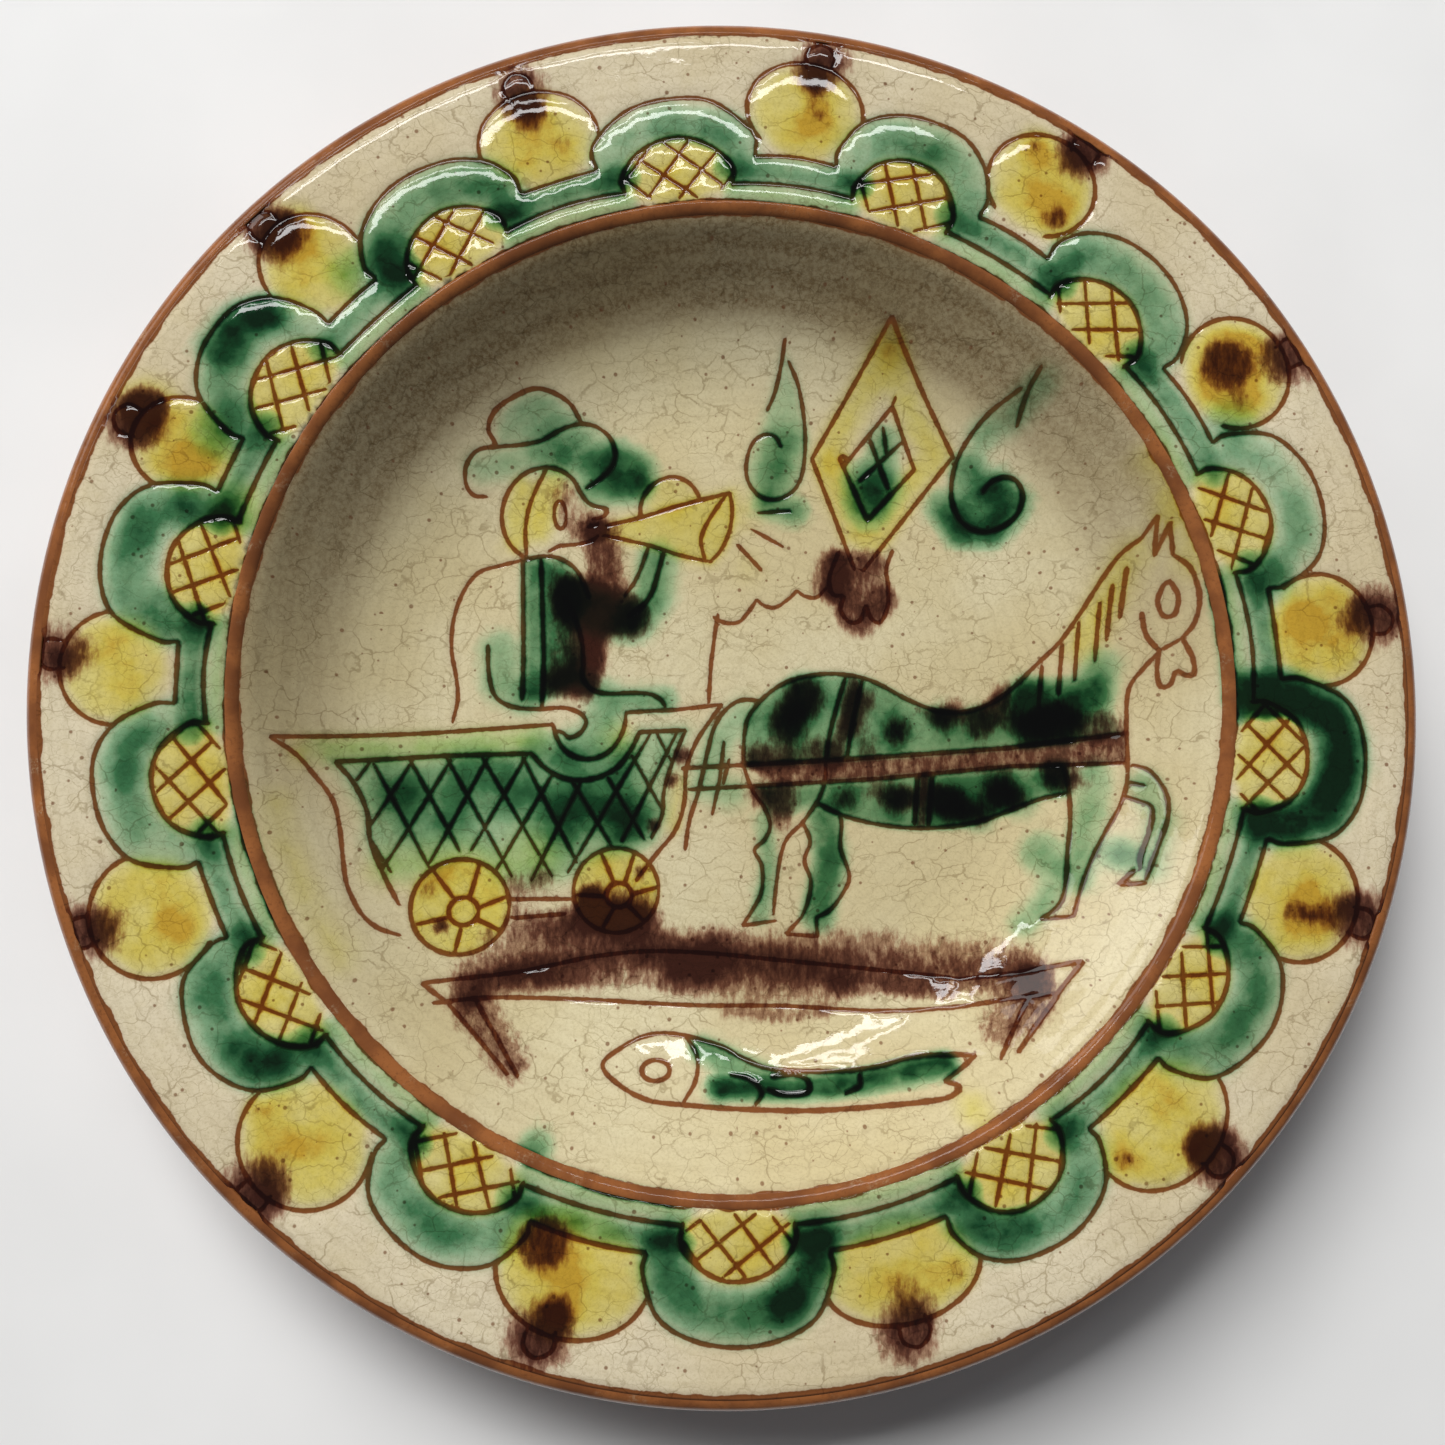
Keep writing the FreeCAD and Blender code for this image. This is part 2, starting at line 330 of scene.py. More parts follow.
def scallop_green(art, top, rep, start, end):
    """The green stain in an arch and along the band to the next one."""
    wide, high = rep["arch"]
    middle = curve(
        (-wide + 4.2, 6.5), (-wide + 4.2, 12), (-wide * 0.52, high - 7.8), (0, high - 6),
        (wide * 0.52, high - 7.8), (wide - 4.2, 12), (wide - 4.2, 6.5),
    )
    dark = rep["green"]
    art.green(dark * 0.52, 3.2, 3.8, *on_ring(middle, top))
    art.green(dark * 0.26, 5.6, 2.8, *on_ring(middle, top))
    for place in rng.uniform(0, len(middle) - 1, 3).astype(int):
        reach = on_ring(middle[max(0, place - 5) : place + 5], top)
        art.green(dark * rng.uniform(0.18, 0.5), 2, 6, *reach)
    band = round_ring(start + 1, end - 1, (VALLEY_V + BAND_V) / 2 + 0.6)
    art.green(0.42, 1.9, 2.6, *band)
    art.green(0.2, 1.4, 3, *round_ring(start, end, 1.6))
    art.yellow(0.16, 1.2, 2.5, *round_ring(start, end, 1.2))


def ball(art, rep, arch, next_arch):
    """A yellow ball with its cap, seen behind the arches on both sides of it."""
    angle, radius, wide, tall, shift = rep["ball"]
    centre = radius - RING_R
    outline = on_ring(oval(0, centre, wide, tall, turn=rng.uniform(-5, 5)), angle)
    arch_shapes = [np.vstack([a, [[0, 0]]]) for a in (arch, next_arch)]
    r = np.hypot(*outline.T)
    shown = r > RING_R + VALLEY_V + 4.2
    for shape in arch_shapes:
        shown &= ~inside(outline, shape)
    first = int(np.argmin(shown))
    around = np.vstack([outline[first:-1], outline[:first]])
    art.engrave(*parts_where(around, np.concatenate([shown[first:-1], shown[:first]])))
    top = centre + tall - 0.8
    cap = curve(
        (shift - 2.9, top - 0.2), (shift - 3.2, top + 3.2), (shift - 0.4, top + 5.3),
        (shift + 2.5, top + 3.6), (shift + 2.4, top + 0.1),
    )
    art.engrave(on_ring(cap, angle), half=0.42)
    art.fill("yellow", rep["yellow"], outline, grow=-1.4, soft=3.2)
    spots = on_ring([(rng.uniform(-5, 5), centre + rng.uniform(-5, 5)) for _ in range(3)], angle)
    for spot in spots:
        art.yellow(0.26, rng.uniform(2.5, 4.5), 4.5, spot)
    x, y = on_ring([(shift + rng.uniform(-1.5, 1.5), top + 1.2)], angle)[0]
    size = 5.4 if -150 < angle < 40 else 4.6
    art.brown(rng.uniform(0.4, 0.6), size + 0.4, 5, (x, y))
    x, y = on_ring([(shift + rng.uniform(-3, 3), top + rng.uniform(1.5, 4.5))], angle)[0]
    art.brown(0.26, size, 5, (x, y))
    low = [(shift - 2.5, top - 1.5), (shift + rng.uniform(-3, 1), top - rng.uniform(3, 6))]
    art.brown(0.34, 2.6, 4, *on_ring(low, angle))


def border_spots(art):
    """Iron spots, dark pools and stray stains that differ from repeat to repeat."""
    for x, y, size, strength in [
        (16.5, 120.5, 1.2, 0.9), (15.5, 127, 2, 0.7), (62, 114.5, 1.6, 0.8), (66, 99.5, 2.4, 1),
        (101.5, 68.5, 5.4, 1.2), (104, 61, 1.8, 0.7), (116.5, 15, 1, 0.5), (112, -44.5, 2.4, 0.9),
        (116, -45.5, 2, 0.9), (76, -93, 1.6, 0.9), (91, -91, 2.4, 0.8), (42.5, -114, 1.1, 0.9),
        (-38, -107.5, 5, 1.2), (-35.5, -121, 2.4, 0.9), (-92.5, -82, 0.8, 0.8), (-118, 55.5, 4, 0.9),
        (-43, 119, 2.6, 0.9), (-37, 112.5, 1.8, 0.6), (-91, 92, 4, 0.8),
    ]:
        art.brown(strength * 0.62, size, 2.2, (x, y))
        art.yellow(0.55, size + 1.4, 4, (x, y))
    art.green(0.9, 4.5, 4, (104, -1))
    art.green(0.5, 3, 5, *curve((112, 0), (121, -5), (124, -14), (120, -22)))
    art.green(0.8, 2.5, 4.5, *curve((-105, 68), (-101, 73), (-96, 75)))
    art.green(0.7, 3.5, 4, (-71, 88))
    art.green(0.3, 3.5, 5, (-79, 84))
    art.green(0.45, 4, 5, (-104, 51))
    art.yellow(0.5, 4, 5, (-101, 36))
    art.green(0.35, 5, 5, (-93, -71))
    art.green(0.4, 4, 5, (109, 24))
    art.green(0.3, 4, 5, (102, 56))
    art.green(0.45, 2.5, 5, *curve((7, -120), (13, -114), (16, -106)))
    art.green(0.8, 0.7, 1.8, *round_ring(-114, -98, -1))
    art.green(0.6, 0.8, 2, *round_ring(-169, -154, -1))
    art.green(0.6, 1, 2.2, *round_ring(-1, 13, -1))
    art.green(0.45, 2.4, 3, (-40, -90))
    art.yellow(0.25, 2, 5, *round_ring(-166, -146, -6.5))
    art.yellow(0.3, 2, 5, *round_ring(16, 30, -3.4))
    art.yellow(0.4, 2.5, 4, (47, -84))


# ---------------------------------------------------------------- the scene in the well
def rider(art):
    """Hatted rider blowing a horn, on the seat of the cart."""
    art.engrave(
        curve(
            (-51.3, 54.6), (-52.8, 57.6), (-51.3, 61.2), (-47.5, 64.2), (-43, 66.3), (-39, 65.8),
            (-35.5, 63.8), (-33.3, 60.4),
        ),
        curve(
            (-53.3, 43.5), (-56, 43.6), (-57.6, 46), (-57.4, 49.8), (-55, 53), (-51, 54), (-46, 54.8),
            (-41.5, 56), (-37.5, 58.4), (-33.5, 59.8), (-30, 59.4), (-27, 57.2), (-25.8, 54), (-26.4, 51),
            (-28.6, 48.4), (-32, 46),
        ),
        curve(
            (-45, 30.4), (-48, 33), (-49.7, 36.5), (-50, 40.5), (-48.6, 45), (-45.5, 48.6), (-41.5, 50.2),
            (-38, 49.9), (-35, 48), (-33.3, 45), (-31.6, 42.8), (-29.6, 41.9), (-27.4, 41.3),
            (-28.4, 39.7), (-30.6, 39.2),
        ),
        curve((-40.6, 49.9), (-42.6, 46), (-44.3, 41.5), (-45, 37), (-44.9, 33.5), (-44.7, 30.5)),
        oval(-37.6, 40, 1.3, 3.1, turn=4),
        curve((-39.9, 32), (-37.5, 33.2), (-34, 33.6), (-31, 34.3), (-29.3, 35.6)),
        line((-31.6, 37.4), (-29.6, 38)),
    )
    art.engrave(
        line((-45.5, 30), (-45.3, 20), (-45.1, 8), (-45.3, 0)),
        line((-41.6, 30.2), (-41.2, 20), (-40.8, 9), (-41, -1.6)),
        curve((-44.7, 30.2), (-41, 30.9), (-37.8, 30.5), (-34.6, 28.6), (-32.6, 25.6), (-31.2, 22)),
        curve(
            (-36.6, 22), (-34.4, 17.8), (-32.8, 13), (-32.3, 8), (-32.4, 4.6), (-30.4, 2), (-27, 1.2),
            (-22, 1.4), (-18.2, 1.2), (-16, 0.2), (-14.8, -1.3),
        ),
        curve((-23.6, 22.4), (-21.4, 25.6), (-19.9, 29), (-18.6, 33)),
        curve((-15.2, 32), (-16.4, 27.5), (-17.8, 23), (-20, 20), (-22.6, 18)),
        curve(
            (-52.7, 11.4), (-52.5, 6), (-51.5, 1.4), (-49.4, -0.9), (-46, -2), (-41.5, -2.2),
            (-36.5, -1.9), (-33, -3), (-31.6, -5), (-33, -7.4), (-35.2, -8.3), (-36.4, -7.3),
            (-37.8, -6.9),
        ),
        curve(
            (-45.6, 30), (-50, 28.8), (-54.8, 27.2), (-58, 23), (-60, 17), (-60.4, 10.5), (-59.4, 5),
            (-58.9, 0), (-59.9, -5),
        ),
    )
    horn_top = curve((-27.4, 37.8), (-20, 39.7), (-11.4, 42.5), (-0.8, 45.4))
    horn_foot = curve((-27.8, 35.6), (-18.6, 33.6), (-11.4, 31.4), (-5, 30.1))
    mouth = curve((-0.8, 45.4), (-0.3, 41.5), (-0.9, 37), (-2.6, 33), (-5, 30.1))
    art.engrave(
        horn_top, horn_foot, mouth, curve((-1.9, 44.6), (-5.4, 39.3), (-7.1, 35), (-6.3, 30.6)),
        curve(
            (-20.3, 39.6), (-20.1, 43), (-18.4, 46), (-16, 48), (-13, 48.7), (-10, 47.7), (-8.2, 45.7),
            (-7.3, 43.7),
        ),
        line((4.3, 37.2), (10.8, 33.6)), line((0.9, 33.9), (5.9, 28.5)),
    )
    art.fill("yellow", 0.46, np.vstack([horn_top, mouth, horn_foot[::-1]]), grow=0.6)
    art.fill("yellow", 0.3, oval(-14, 44.5, 6, 4))
    art.yellow(0.24, 3.5, 6, (2.5, 42))
    art.yellow(0.12, 2.5, 5, (3, 29))
    art.yellow(0.55, 1.6, 3, (-45.5, 46), (-47.6, 40), (-47, 34))
    art.yellow(0.62, 2.2, 4, (-39, 47), (-41.5, 43), (-42.5, 37))
    # hat
    art.fill(
        "green", 0.17,
        curve((-50.8, 57), (-49.6, 61), (-43, 65), (-37, 63.6), (-34.5, 60.5), (-41, 57), (-50, 55.4)),
    )
    art.green(0.12, 4, 6, (-41, 60))
    art.green(0.2, 2.4, 4, (-54.5, 49.5), (-47, 51), (-40, 53))
    art.green(0.3, 3.4, 5, (-40, 54), (-34, 56), (-30, 53))
    art.green(0.32, 3, 5, (-36, 52), (-29, 50))
    art.green(0.75, 3.4, 4.5, (-26, 51.5), (-21.5, 49.5))
    art.green(0.5, 2.2, 4, (-30, 45.6), (-21, 46))
    # coat and arm
    art.green(0.5, 1.6, 3, (-43.3, 28), (-43, 2))
    art.green(0.3, 3.4, 4, (-50, 10), (-49.6, 3), (-45, 1))
    front = [
        (-41.4, 30), (-37, 29.6), (-33.4, 26), (-32.6, 22), (-34.4, 16), (-32.6, 9), (-32.4, 3.4),
        (-41, 0),
    ]
    art.fill("green", 0.55, front, grow=-0.2, soft=2.6)
    art.fill("brown", 0.4, front, grow=-1.4, soft=3.8)
    art.green(0.55, 2.8, 4.5, (-16.6, 30), (-17, 23), (-21, 17))
    art.green(0.4, 2, 3, (-31, 3), (-24, 0), (-15, 0))
    art.green(0.32, 3.2, 4, (-28, -4), (-30, -9), (-36, -11))
    art.brown(0.4, 3.4, 5, (-37, 44), (-34, 38))
    art.brown(0.7, 1.6, 3, (-30, 36.4))
    art.brown(0.62, 3.8, 3.6, (-28.6, 36), (-27.8, 30), (-27.2, 25))
    art.brown(0.42, 2, 3, (-30, 22), (-29.6, 8))
    art.brown(0.95, 4.2, 4, (-34, 22), (-28, 18.5), (-23, 18))
    art.green(0.5, 4, 4, (-34, 20), (-24, 17.5))
    art.brown(0.8, 3, 4, (-33.4, 20), (-31.4, 12), (-32, 6))
    art.brown(0.85, 2.4, 4, (-38, 3.4), (-32, 2.4))
    art.brown(0.8, 0.5, 1.4, (-47.5, 40))


def cart(art):
    """Cart with a curled seat, a lattice side and two spoked wheels."""
    art.engrave(
        line((-94, -9.5), (-66, -7.6), (-38.8, -5.5)),
        curve(
            (-94, -9.6), (-89.8, -12.6), (-86.2, -17), (-82.8, -22), (-81.2, -28), (-80.4, -33),
            (-79.2, -39), (-76.4, -44.6), (-73, -47.8), (-68.8, -49.5),
        ),
        curve(
            (-38.7, -5.3), (-37.8, -8.5), (-35.5, -11.5), (-31.5, -12.9), (-27.5, -11.8), (-24.8, -9),
            (-23.4, -5.6), (-23.2, -2.9),
        ),
        line((-23.2, -2.8), (-12.5, -2.2), (-2.6, -1)),
        curve(
            (-2.6, -1), (-5, -4.4), (-8, -9), (-10.2, -15), (-10.6, -22), (-12.5, -28), (-16.5, -33),
            (-20.8, -38.6),
        ),
    )
    top = line((-82.7, -14), (-62, -12.3), (-43.2, -11.7))
    scoop = curve(
        (-43.2, -11.7), (-40.5, -14.6), (-37, -16.7), (-33, -17.4), (-28.5, -16.6), (-24.5, -14.2),
        (-21.9, -10.6), (-20.2, -7),
    )
    right = curve((-10.4, -6.6), (-12.6, -12), (-14, -16), (-15, -20), (-15.4, -25), (-17.6, -29.6))
    left = curve((-82.7, -14), (-79, -18.6), (-76.4, -24.4), (-75.6, -30), (-73, -36.5), (-69.5, -43.2))
    art.engrave(top, scoop, line((-20.2, -7), (-10.4, -6.6)), right, left)
    foot = curve(
        (-68, -37.6), (-60, -33.6), (-54, -33.4), (-48, -38), (-38, -38.5), (-31, -34), (-24, -31),
    )
    panel = np.vstack([top, scoop, [(-20.2, -7), (-10.4, -6.6)], right, foot[::-1], left[::-1][8:]])
    hatch(art, panel, 61, 6.7, shift=2.2)
    hatch(art, panel, -60, 6.9, shift=3.4)
    art.fill("green", 0.22, panel, grow=0.4, soft=4)
    art.green(0.14, 4, 7, (-74, -17), (-66, -22), (-62, -28))
    art.green(0.75, 4, 7, (-23.5, -26))
    art.green(0.3, 4, 6, (-36, -26), (-26, -18))
    art.green(0.36, 4.5, 7, (-56, -17), (-44, -20), (-36, -24))
    art.green(0.3, 3.5, 5, (-70, -20))
    art.green(0.22, 3.5, 5, (-60, -25))
    art.green(0.16, 4, 8, (-67, -24))
    art.yellow(0.35, 2.4, 6, (-72, -36), (-60, -33), (-50, -36))
    art.green(0.38, 2.8, 4.5, (-41, -11.5), (-33, -15.2), (-24, -12))
    art.green(0.16, 1.6, 4, (-86, -11.6), (-66, -10), (-42, -8.6))
    art.yellow(0.36, 1.8, 5, (-88, -12), (-60, -10), (-42, -9))
    art.yellow(0.3, 5, 6, (-42, -33))
    art.yellow(0.34, 3, 5, (-25, -9))
    art.yellow(0.32, 1.2, 3, (-12, -18), (-13, -27))
    for x, y, size in [(-11.3, -12, 1.5), (-13.4, -17.4, 1.2), (-17.2, -27, 1.2)]:
        art.brown(0.85, size, 2.4, (x, y))
    for x, y, size, hub, spokes in [
        (-57.3, -43.9, 9.9, 3, (128, 68, 12, -32, -95, 202)),
        (-25, -40.7, 9, 2.7, (112, 64, 4, -48, -110, 186)),
    ]:
        art.engrave(oval(x, y, size, size * 0.99), oval(x + 0.6, y - 1, hub, hub * 0.95))
        for a in np.radians(spokes):
            way = np.array([math.cos(a), math.sin(a)])
            art.engrave(line((x + 0.6, y - 1) + way * hub, (x, y) + way * size * 0.97))
        art.fill("yellow", 0.6, oval(x, y, size, size), grow=-0.4, soft=1.8)
    art.brown(1, 1.3, 2, (-61.2, -48))
    art.brown(0.5, 1.6, 3, (-64, -40.5))
    art.brown(0.6, 1, 2.4, (-52, -49.6))
    art.yellow(0.4, 1.6, 4, (-64.6, -40), (-60, -36.4))
    art.brown(0.55, 4.2, 4.5, (-30, -43.6), (-21, -44.6))
    art.brown(0.9, 1.6, 2.4, (-30.4, -42))
    art.brown(0.6, 1.2, 2.4, (-20, -36.6))
    art.brown(0.35, 2, 4, (-30, -45), (-23, -46))
    art.engrave(line((-47.6, -42.5), (-34, -42.5)), line((-46.4, -46.4), (-35.6, -45.6)))


def whip(art):
    """Post and wavy rein from the cart to the tassel."""
    art.engrave(
        line((-5.4, -0.6), (-4.9, 8), (-4, 15), (-3.4, 18.6)),
        curve((-4.4, 18), (-2, 16.8), (1, 16.9), (3.2, 19.2), (5, 21.9)),
        curve((5, 21.9), (6.6, 20.6), (9, 20.2), (11.8, 22), (13.8, 24)),
        curve((13.8, 24), (15.4, 22.8), (18, 22.5), (20.2, 24.6)),
    )


def horse(art):
    """Horse facing right, with a braced harness, a hatched mane and one raised foreleg."""
    back = curve(
        (2.2, -8), (3.2, -3.6), (7, 1), (12.5, 4.4), (20, 5.8), (27, 5.2), (32, 3.4), (38, 0.2), (44, -2),
        (50, -2.3), (56, -0.4), (61, 3.1), (66, 8), (71, 13), (75, 19), (79, 26), (82, 30.6),
        (85.6, 33.6),
    )
    chest = curve(
        (89.4, 9.7), (86.4, 6), (84, 2), (83.4, -5), (83.3, -12), (82.9, -18), (81.3, -23), (78, -29),
        (75, -35), (72.6, -41), (70.9, -46),
    )
    belly = curve(
        (17.5, -22), (24, -25), (33, -27), (42, -27.5), (52, -26.4), (60, -23.6), (66, -21.3),
        (71.6, -20),
    )
    art.engrave(
        back, line((85.4, 33.4), (87.8, 37.4), (87.9, 29.6), (90, 35.8), (90.9, 29.4)),
        curve((90.9, 29.4), (94, 26), (95.6, 20), (94.9, 15), (93, 12)),
        curve(
            (93, 12), (94.7, 7.5), (94.8, 4), (93.2, 4.4), (92, 5.4), (91, 2.4), (89.4, 2.2), (88.9, 5.6),
            (89.2, 9.6),
        ),
        line((93, 12), (89.3, 9.7)), chest, curve((86.2, 18), (87, 13.4), (89.2, 9.8)),
        curve((90, 23.9), (88.8, 20.4), (89.8, 17), (91.6, 17), (92.2, 20.4), (91, 23.4), closed=True),
        belly,
        curve(
            (71.4, -14.6), (72, -20), (71.8, -27), (70.9, -33), (70.2, -38.8), (68.6, -43.6),
            (64.6, -46.8),
        ),
        line((64.6, -46.8), (70.9, -46)),
    )
    art.engrave(
        curve((84, -14.2), (87, -15.6), (89.2, -20), (89.3, -25), (87.6, -30), (85.6, -35), (84, -38.9)),
        line((84, -38.9), (79.6, -39.4), (82.6, -36.4)), line((83.2, -18), (85.8, -18.6)),
        curve((82.2, -20.8), (84.4, -21.8), (86.8, -23.3), (86, -28), (84, -33.4), (83.6, -36)),
    )
    art.engrave(
        curve(
            (2.2, -8), (2.2, -14), (4, -19.4), (6.6, -23.2), (7.8, -27), (6.6, -30), (4.4, -32.2),
            (6, -35.6), (5.9, -41), (3.9, -45), (1.8, -48.2),
        ),
        line((1.8, -48.2), (8.8, -47.2)),
        curve(
            (19.8, -13), (19.7, -17), (18.4, -21), (15, -26), (11.5, -29.6), (10, -33.6), (9, -40),
            (8.4, -45.8),
        ),
        curve((14.7, -26), (16.4, -30.4), (15.1, -34.4), (16.5, -38.8), (15.7, -43.6), (14.4, -46.5)),
        line((14.4, -46.5), (11.1, -50), (17.8, -50.5), (17.6, -46.6)),
        curve(
            (17.6, -46.6), (21, -44.6), (24.6, -39), (24.2, -35.6), (22.9, -31.6), (23.2, -26.6),
            (22.6, -24.4),
        ),
        curve(
            (-10.4, -32), (-9.5, -26), (-7.5, -19.4), (-5.6, -11), (-4.2, -6), (-2, -2.4), (1.4, -0.1),
            (5.6, -0.1),
        ),
        line((-2.1, -9), (-3, -17), (-4.6, -24.6)), line((-1, -12.8), (-2.2, -18)),
    )
    art.engrave(
        line((-11, -14.8), (2, -14), (20, -13), (40, -11.6), (60, -10.1), (83.2, -7.4)),
        line((-9.6, -19.3), (10, -18.2), (30, -17), (45, -15.6), (60, -14.1), (83, -13.7)),
        curve((24.2, 4.8), (22.4, -1), (20.6, -8), (19.8, -13)),
        curve((27.9, 4.4), (26, -4), (24.4, -12.4)), line((39.8, -16), (39, -26.8)),
        line((43, -16), (42, -27)),
    )
    for x, y, low in [
        (67.2, 7.6, -1.4), (71.4, 12.4, 1.6), (74.7, 17, 4.6), (78.7, 21, 8.6), (80.9, 24.4, 12.8),
        (83.3, 27.6, 17.4),
    ]:
        art.engrave(line((x, y), (x - 0.9, low)))
    rump_to_neck = back[back[:, 0] < 63]
    upper = np.vstack(
        [rump_to_neck, [(70, 5), (79, 4), (82, -7.6), (60, -10.2), (40, -11.8), (20, -13.2), (3, -14.2)]],
    )
    lower = np.vstack(
        [
            [(5, -18.6), (10, -18.4), (30, -17.2), (45, -15.8), (60, -14.4), (71, -14)], belly[::-1],
            [(11, -25), (7, -24)],
        ],
    )
    art.fill("green", 0.38, upper, grow=-0.2, soft=2)
    art.fill("green", 0.42, lower, grow=-0.2, soft=2)
    shaft = [(3, -14), (40, -11.8), (83, -7.4), (83, -13.6), (45, -15.6), (10, -18.4)]
    art.fill("brown", 0.56, shaft, grow=0.2, soft=1.6)
    art.green(0.55, 3.2, 4.5, (64, 1), (70, -2), (77, 2))
    art.green(0.3, 2.4, 5, (79, 7))
    art.green(0.3, 2.4, 3.5, (77, -16), (76, -24), (72, -38))
    art.green(0.4, 3, 4.5, (66, -33))
    art.green(0.42, 2.4, 4, (80.5, -33))
    art.green(0.22, 2, 3.5, (86, -18), (88, -26), (85, -36))
    art.green(0.3, 1.4, 4, (69, -36), (66, -43), (61, -48))
    art.green(0.56, 2.8, 3, (19.6, -25), (20.6, -35), (18, -46))
    art.green(0.3, 1.4, 2.6, (6.6, -26), (7.4, -36), (5.6, -46))
    art.green(0.24, 2.2, 5, (2, -3), (-3, -8), (-6.4, -18), (-1, -20))
    # dapples: brown and green run together
    for x, y, size, strength in [
        (15.4, 0.6, 3.6, 0.85), (11.4, -4.6, 3.2, 0.85), (35.4, -6.4, 2.3, 0.75), (45.4, -4.2, 1.9, 0.7),
        (53.4, -5.4, 2.7, 0.65), (64.4, -5.4, 3, 0.85), (70.4, -4.4, 3.6, 0.95), (24, -21.4, 1.6, 0.6),
        (34.6, -21.2, 2.6, 0.6), (46.8, -22.4, 3.2, 0.9), (57.6, -19.6, 3, 0.8), (52.8, -24.4, 2, 0.7),
        (69.6, -16.6, 2.4, 0.8), (62, -21.6, 2, 0.5),
    ]:
        art.brown(strength, size + 0.4, 3.4, (x, y))
        art.green(strength * 0.5, size + 0.8, 3.6, (x, y))
    # bare brown patches
    for x, y, size, strength in [
        (5, -12, 2.2, 0.7), (11, -11.6, 2.2, 0.7), (18, -10.6, 2, 0.7), (28, 0, 1.9, 0.75),
        (26.4, -5, 1.6, 0.7), (29, -10.4, 1.4, 0.5), (58, -2.4, 2.6, 0.65), (59, 2.4, 1.4, 0.6),
        (77.4, -5.4, 2.6, 0.6), (48, -1.4, 1.2, 0.5), (5.4, -20.4, 2.2, 0.6), (10.6, -21.4, 2.4, 0.75),
        (9.6, -26, 1.8, 0.5), (37.4, -21, 1.4, 0.7), (43.8, -20, 1.2, 0.6), (74, -17.2, 1.4, 0.5),
        (30, -19.4, 1.4, 0.4), (82, -5.6, 1.4, 0.4),
    ]:
        art.brown(strength, size + 0.5, 3.4, (x, y))
    art.brown(0.62, 1.6, 2.2, (25.8, 3.6), (23.2, -8), (22, -13))
    art.brown(0.72, 1.2, 2, (41.3, -17), (40.4, -26))
    art.brown(0.4, 0.8, 2.4, *curve((40, -2), (50, -3), (57, 0)))
    art.yellow(0.4, 2.6, 5, (84, 31), (80, 21), (75, 12))
    art.yellow(0.3, 2.5, 5, (90, 39))


def diamond(art):
    """Hanging diamond with a small hatched one inside it and a tassel."""
    outer = line((33.3, 81.7), (17.2, 53.2), (26.4, 28.8))
    art.engrave(outer, line((33.3, 81.7), (48, 53.6), (28.4, 28.6)))
    inner = line((34.7, 64.6), (24.1, 51.6), (29.3, 39.6), (39.7, 51), closed=True)
    art.engrave(
        inner, line((34.6, 64.6), (35.3, 66.4)), line((30, 57.4), (34, 46.8)),
        line((32.8, 60.2), (33.6, 54.8)),
    )
    art.engrave(line((36.9, 56.9), (27.6, 48.4)), oval(24, 53.2, 0.6, 0.8))
    art.engrave(
        curve(
            (23, 32.6), (20.9, 27), (21.6, 23.2), (24, 22.8), (23.2, 20), (25.2, 17.2), (27.6, 17.6),
            (28.8, 21),
        ),
        curve((28.9, 21), (30, 18), (32, 17.2), (33.6, 20.6), (33.8, 25), (33.4, 29), (34.8, 33)),
    )
    art.yellow(0.5, 2.4, 4.5, (33, 76), (24, 60), (20.5, 53.5))
    art.yellow(0.46, 2.4, 4.5, (33.4, 76), (39.6, 62), (44, 54))
    art.yellow(0.52, 3, 4.5, (22, 50), (27, 38))
    art.yellow(0.46, 2.4, 4.5, (41, 50), (31, 36))
    art.green(0.36, 2.4, 4, (33, 57), (32, 50))
    art.green(0.72, 3.4, 4.5, (29, 48), (29.4, 43))
    art.green(0.4, 3, 4.5, (33, 47))
    art.brown(0.6, 2.8, 3, (21, 30.6), (20.2, 25))
    art.brown(0.66, 2.6, 3, (24, 30), (31, 30))
    art.brown(0.72, 4, 3, (24, 24), (27, 18), (31.4, 22))


def commas(art):
    """The two curled green leaves beside the diamond."""
    art.engrave(
        curve((10.9, 78.4), (10.2, 73), (9, 67.6), (7.4, 63.8)),
        curve(
            (11.8, 74), (14.1, 69), (15.5, 61.6), (15.7, 55), (14.8, 49), (12.6, 45.6), (9, 44),
            (5.6, 44.8), (3.2, 48), (2.8, 52), (4.1, 56.4), (6.8, 58.5), (9.2, 58), (10.3, 56),
        ),
        line((5.3, 41), (12.3, 41.6)), curve((64, 69.4), (62, 65), (60.7, 58.8)),
        curve(
            (60.7, 66), (55, 62), (51, 57), (48.6, 52), (47.8, 46.6), (48.4, 42.6), (50.6, 39),
            (54.6, 37.3), (59, 38.3), (62, 41), (62.8, 44.6), (61.6, 47.6), (59, 48.8), (56.4, 48),
            (54.6, 46),
        ),
    )
    leaf = curve(
        (10.6, 76), (13.8, 69), (15.4, 61), (15.6, 54), (13.8, 47), (9, 44.2), (4, 46.4), (3, 52),
        (5.4, 58), (8.4, 66),
    )
    art.fill("green", 0.17, leaf, grow=-0.3, soft=3.4)
    art.green(0.26, 3.4, 4.5, (11.4, 57), (9, 50))
    art.green(0.55, 2, 4, (7.5, 43), (13, 41.4))
    art.green(0.28, 2.4, 4.5, (64, 66), (60, 61.4), (54, 57.6))
    art.green(0.5, 2.6, 4, (51.4, 51), (51.4, 45))
    art.green(0.7, 2.4, 4.5, (46, 42.4))
    art.green(0.95, 3, 4.5, (50, 38.6), (56, 38.4), (60, 42.6), (57, 45.6))


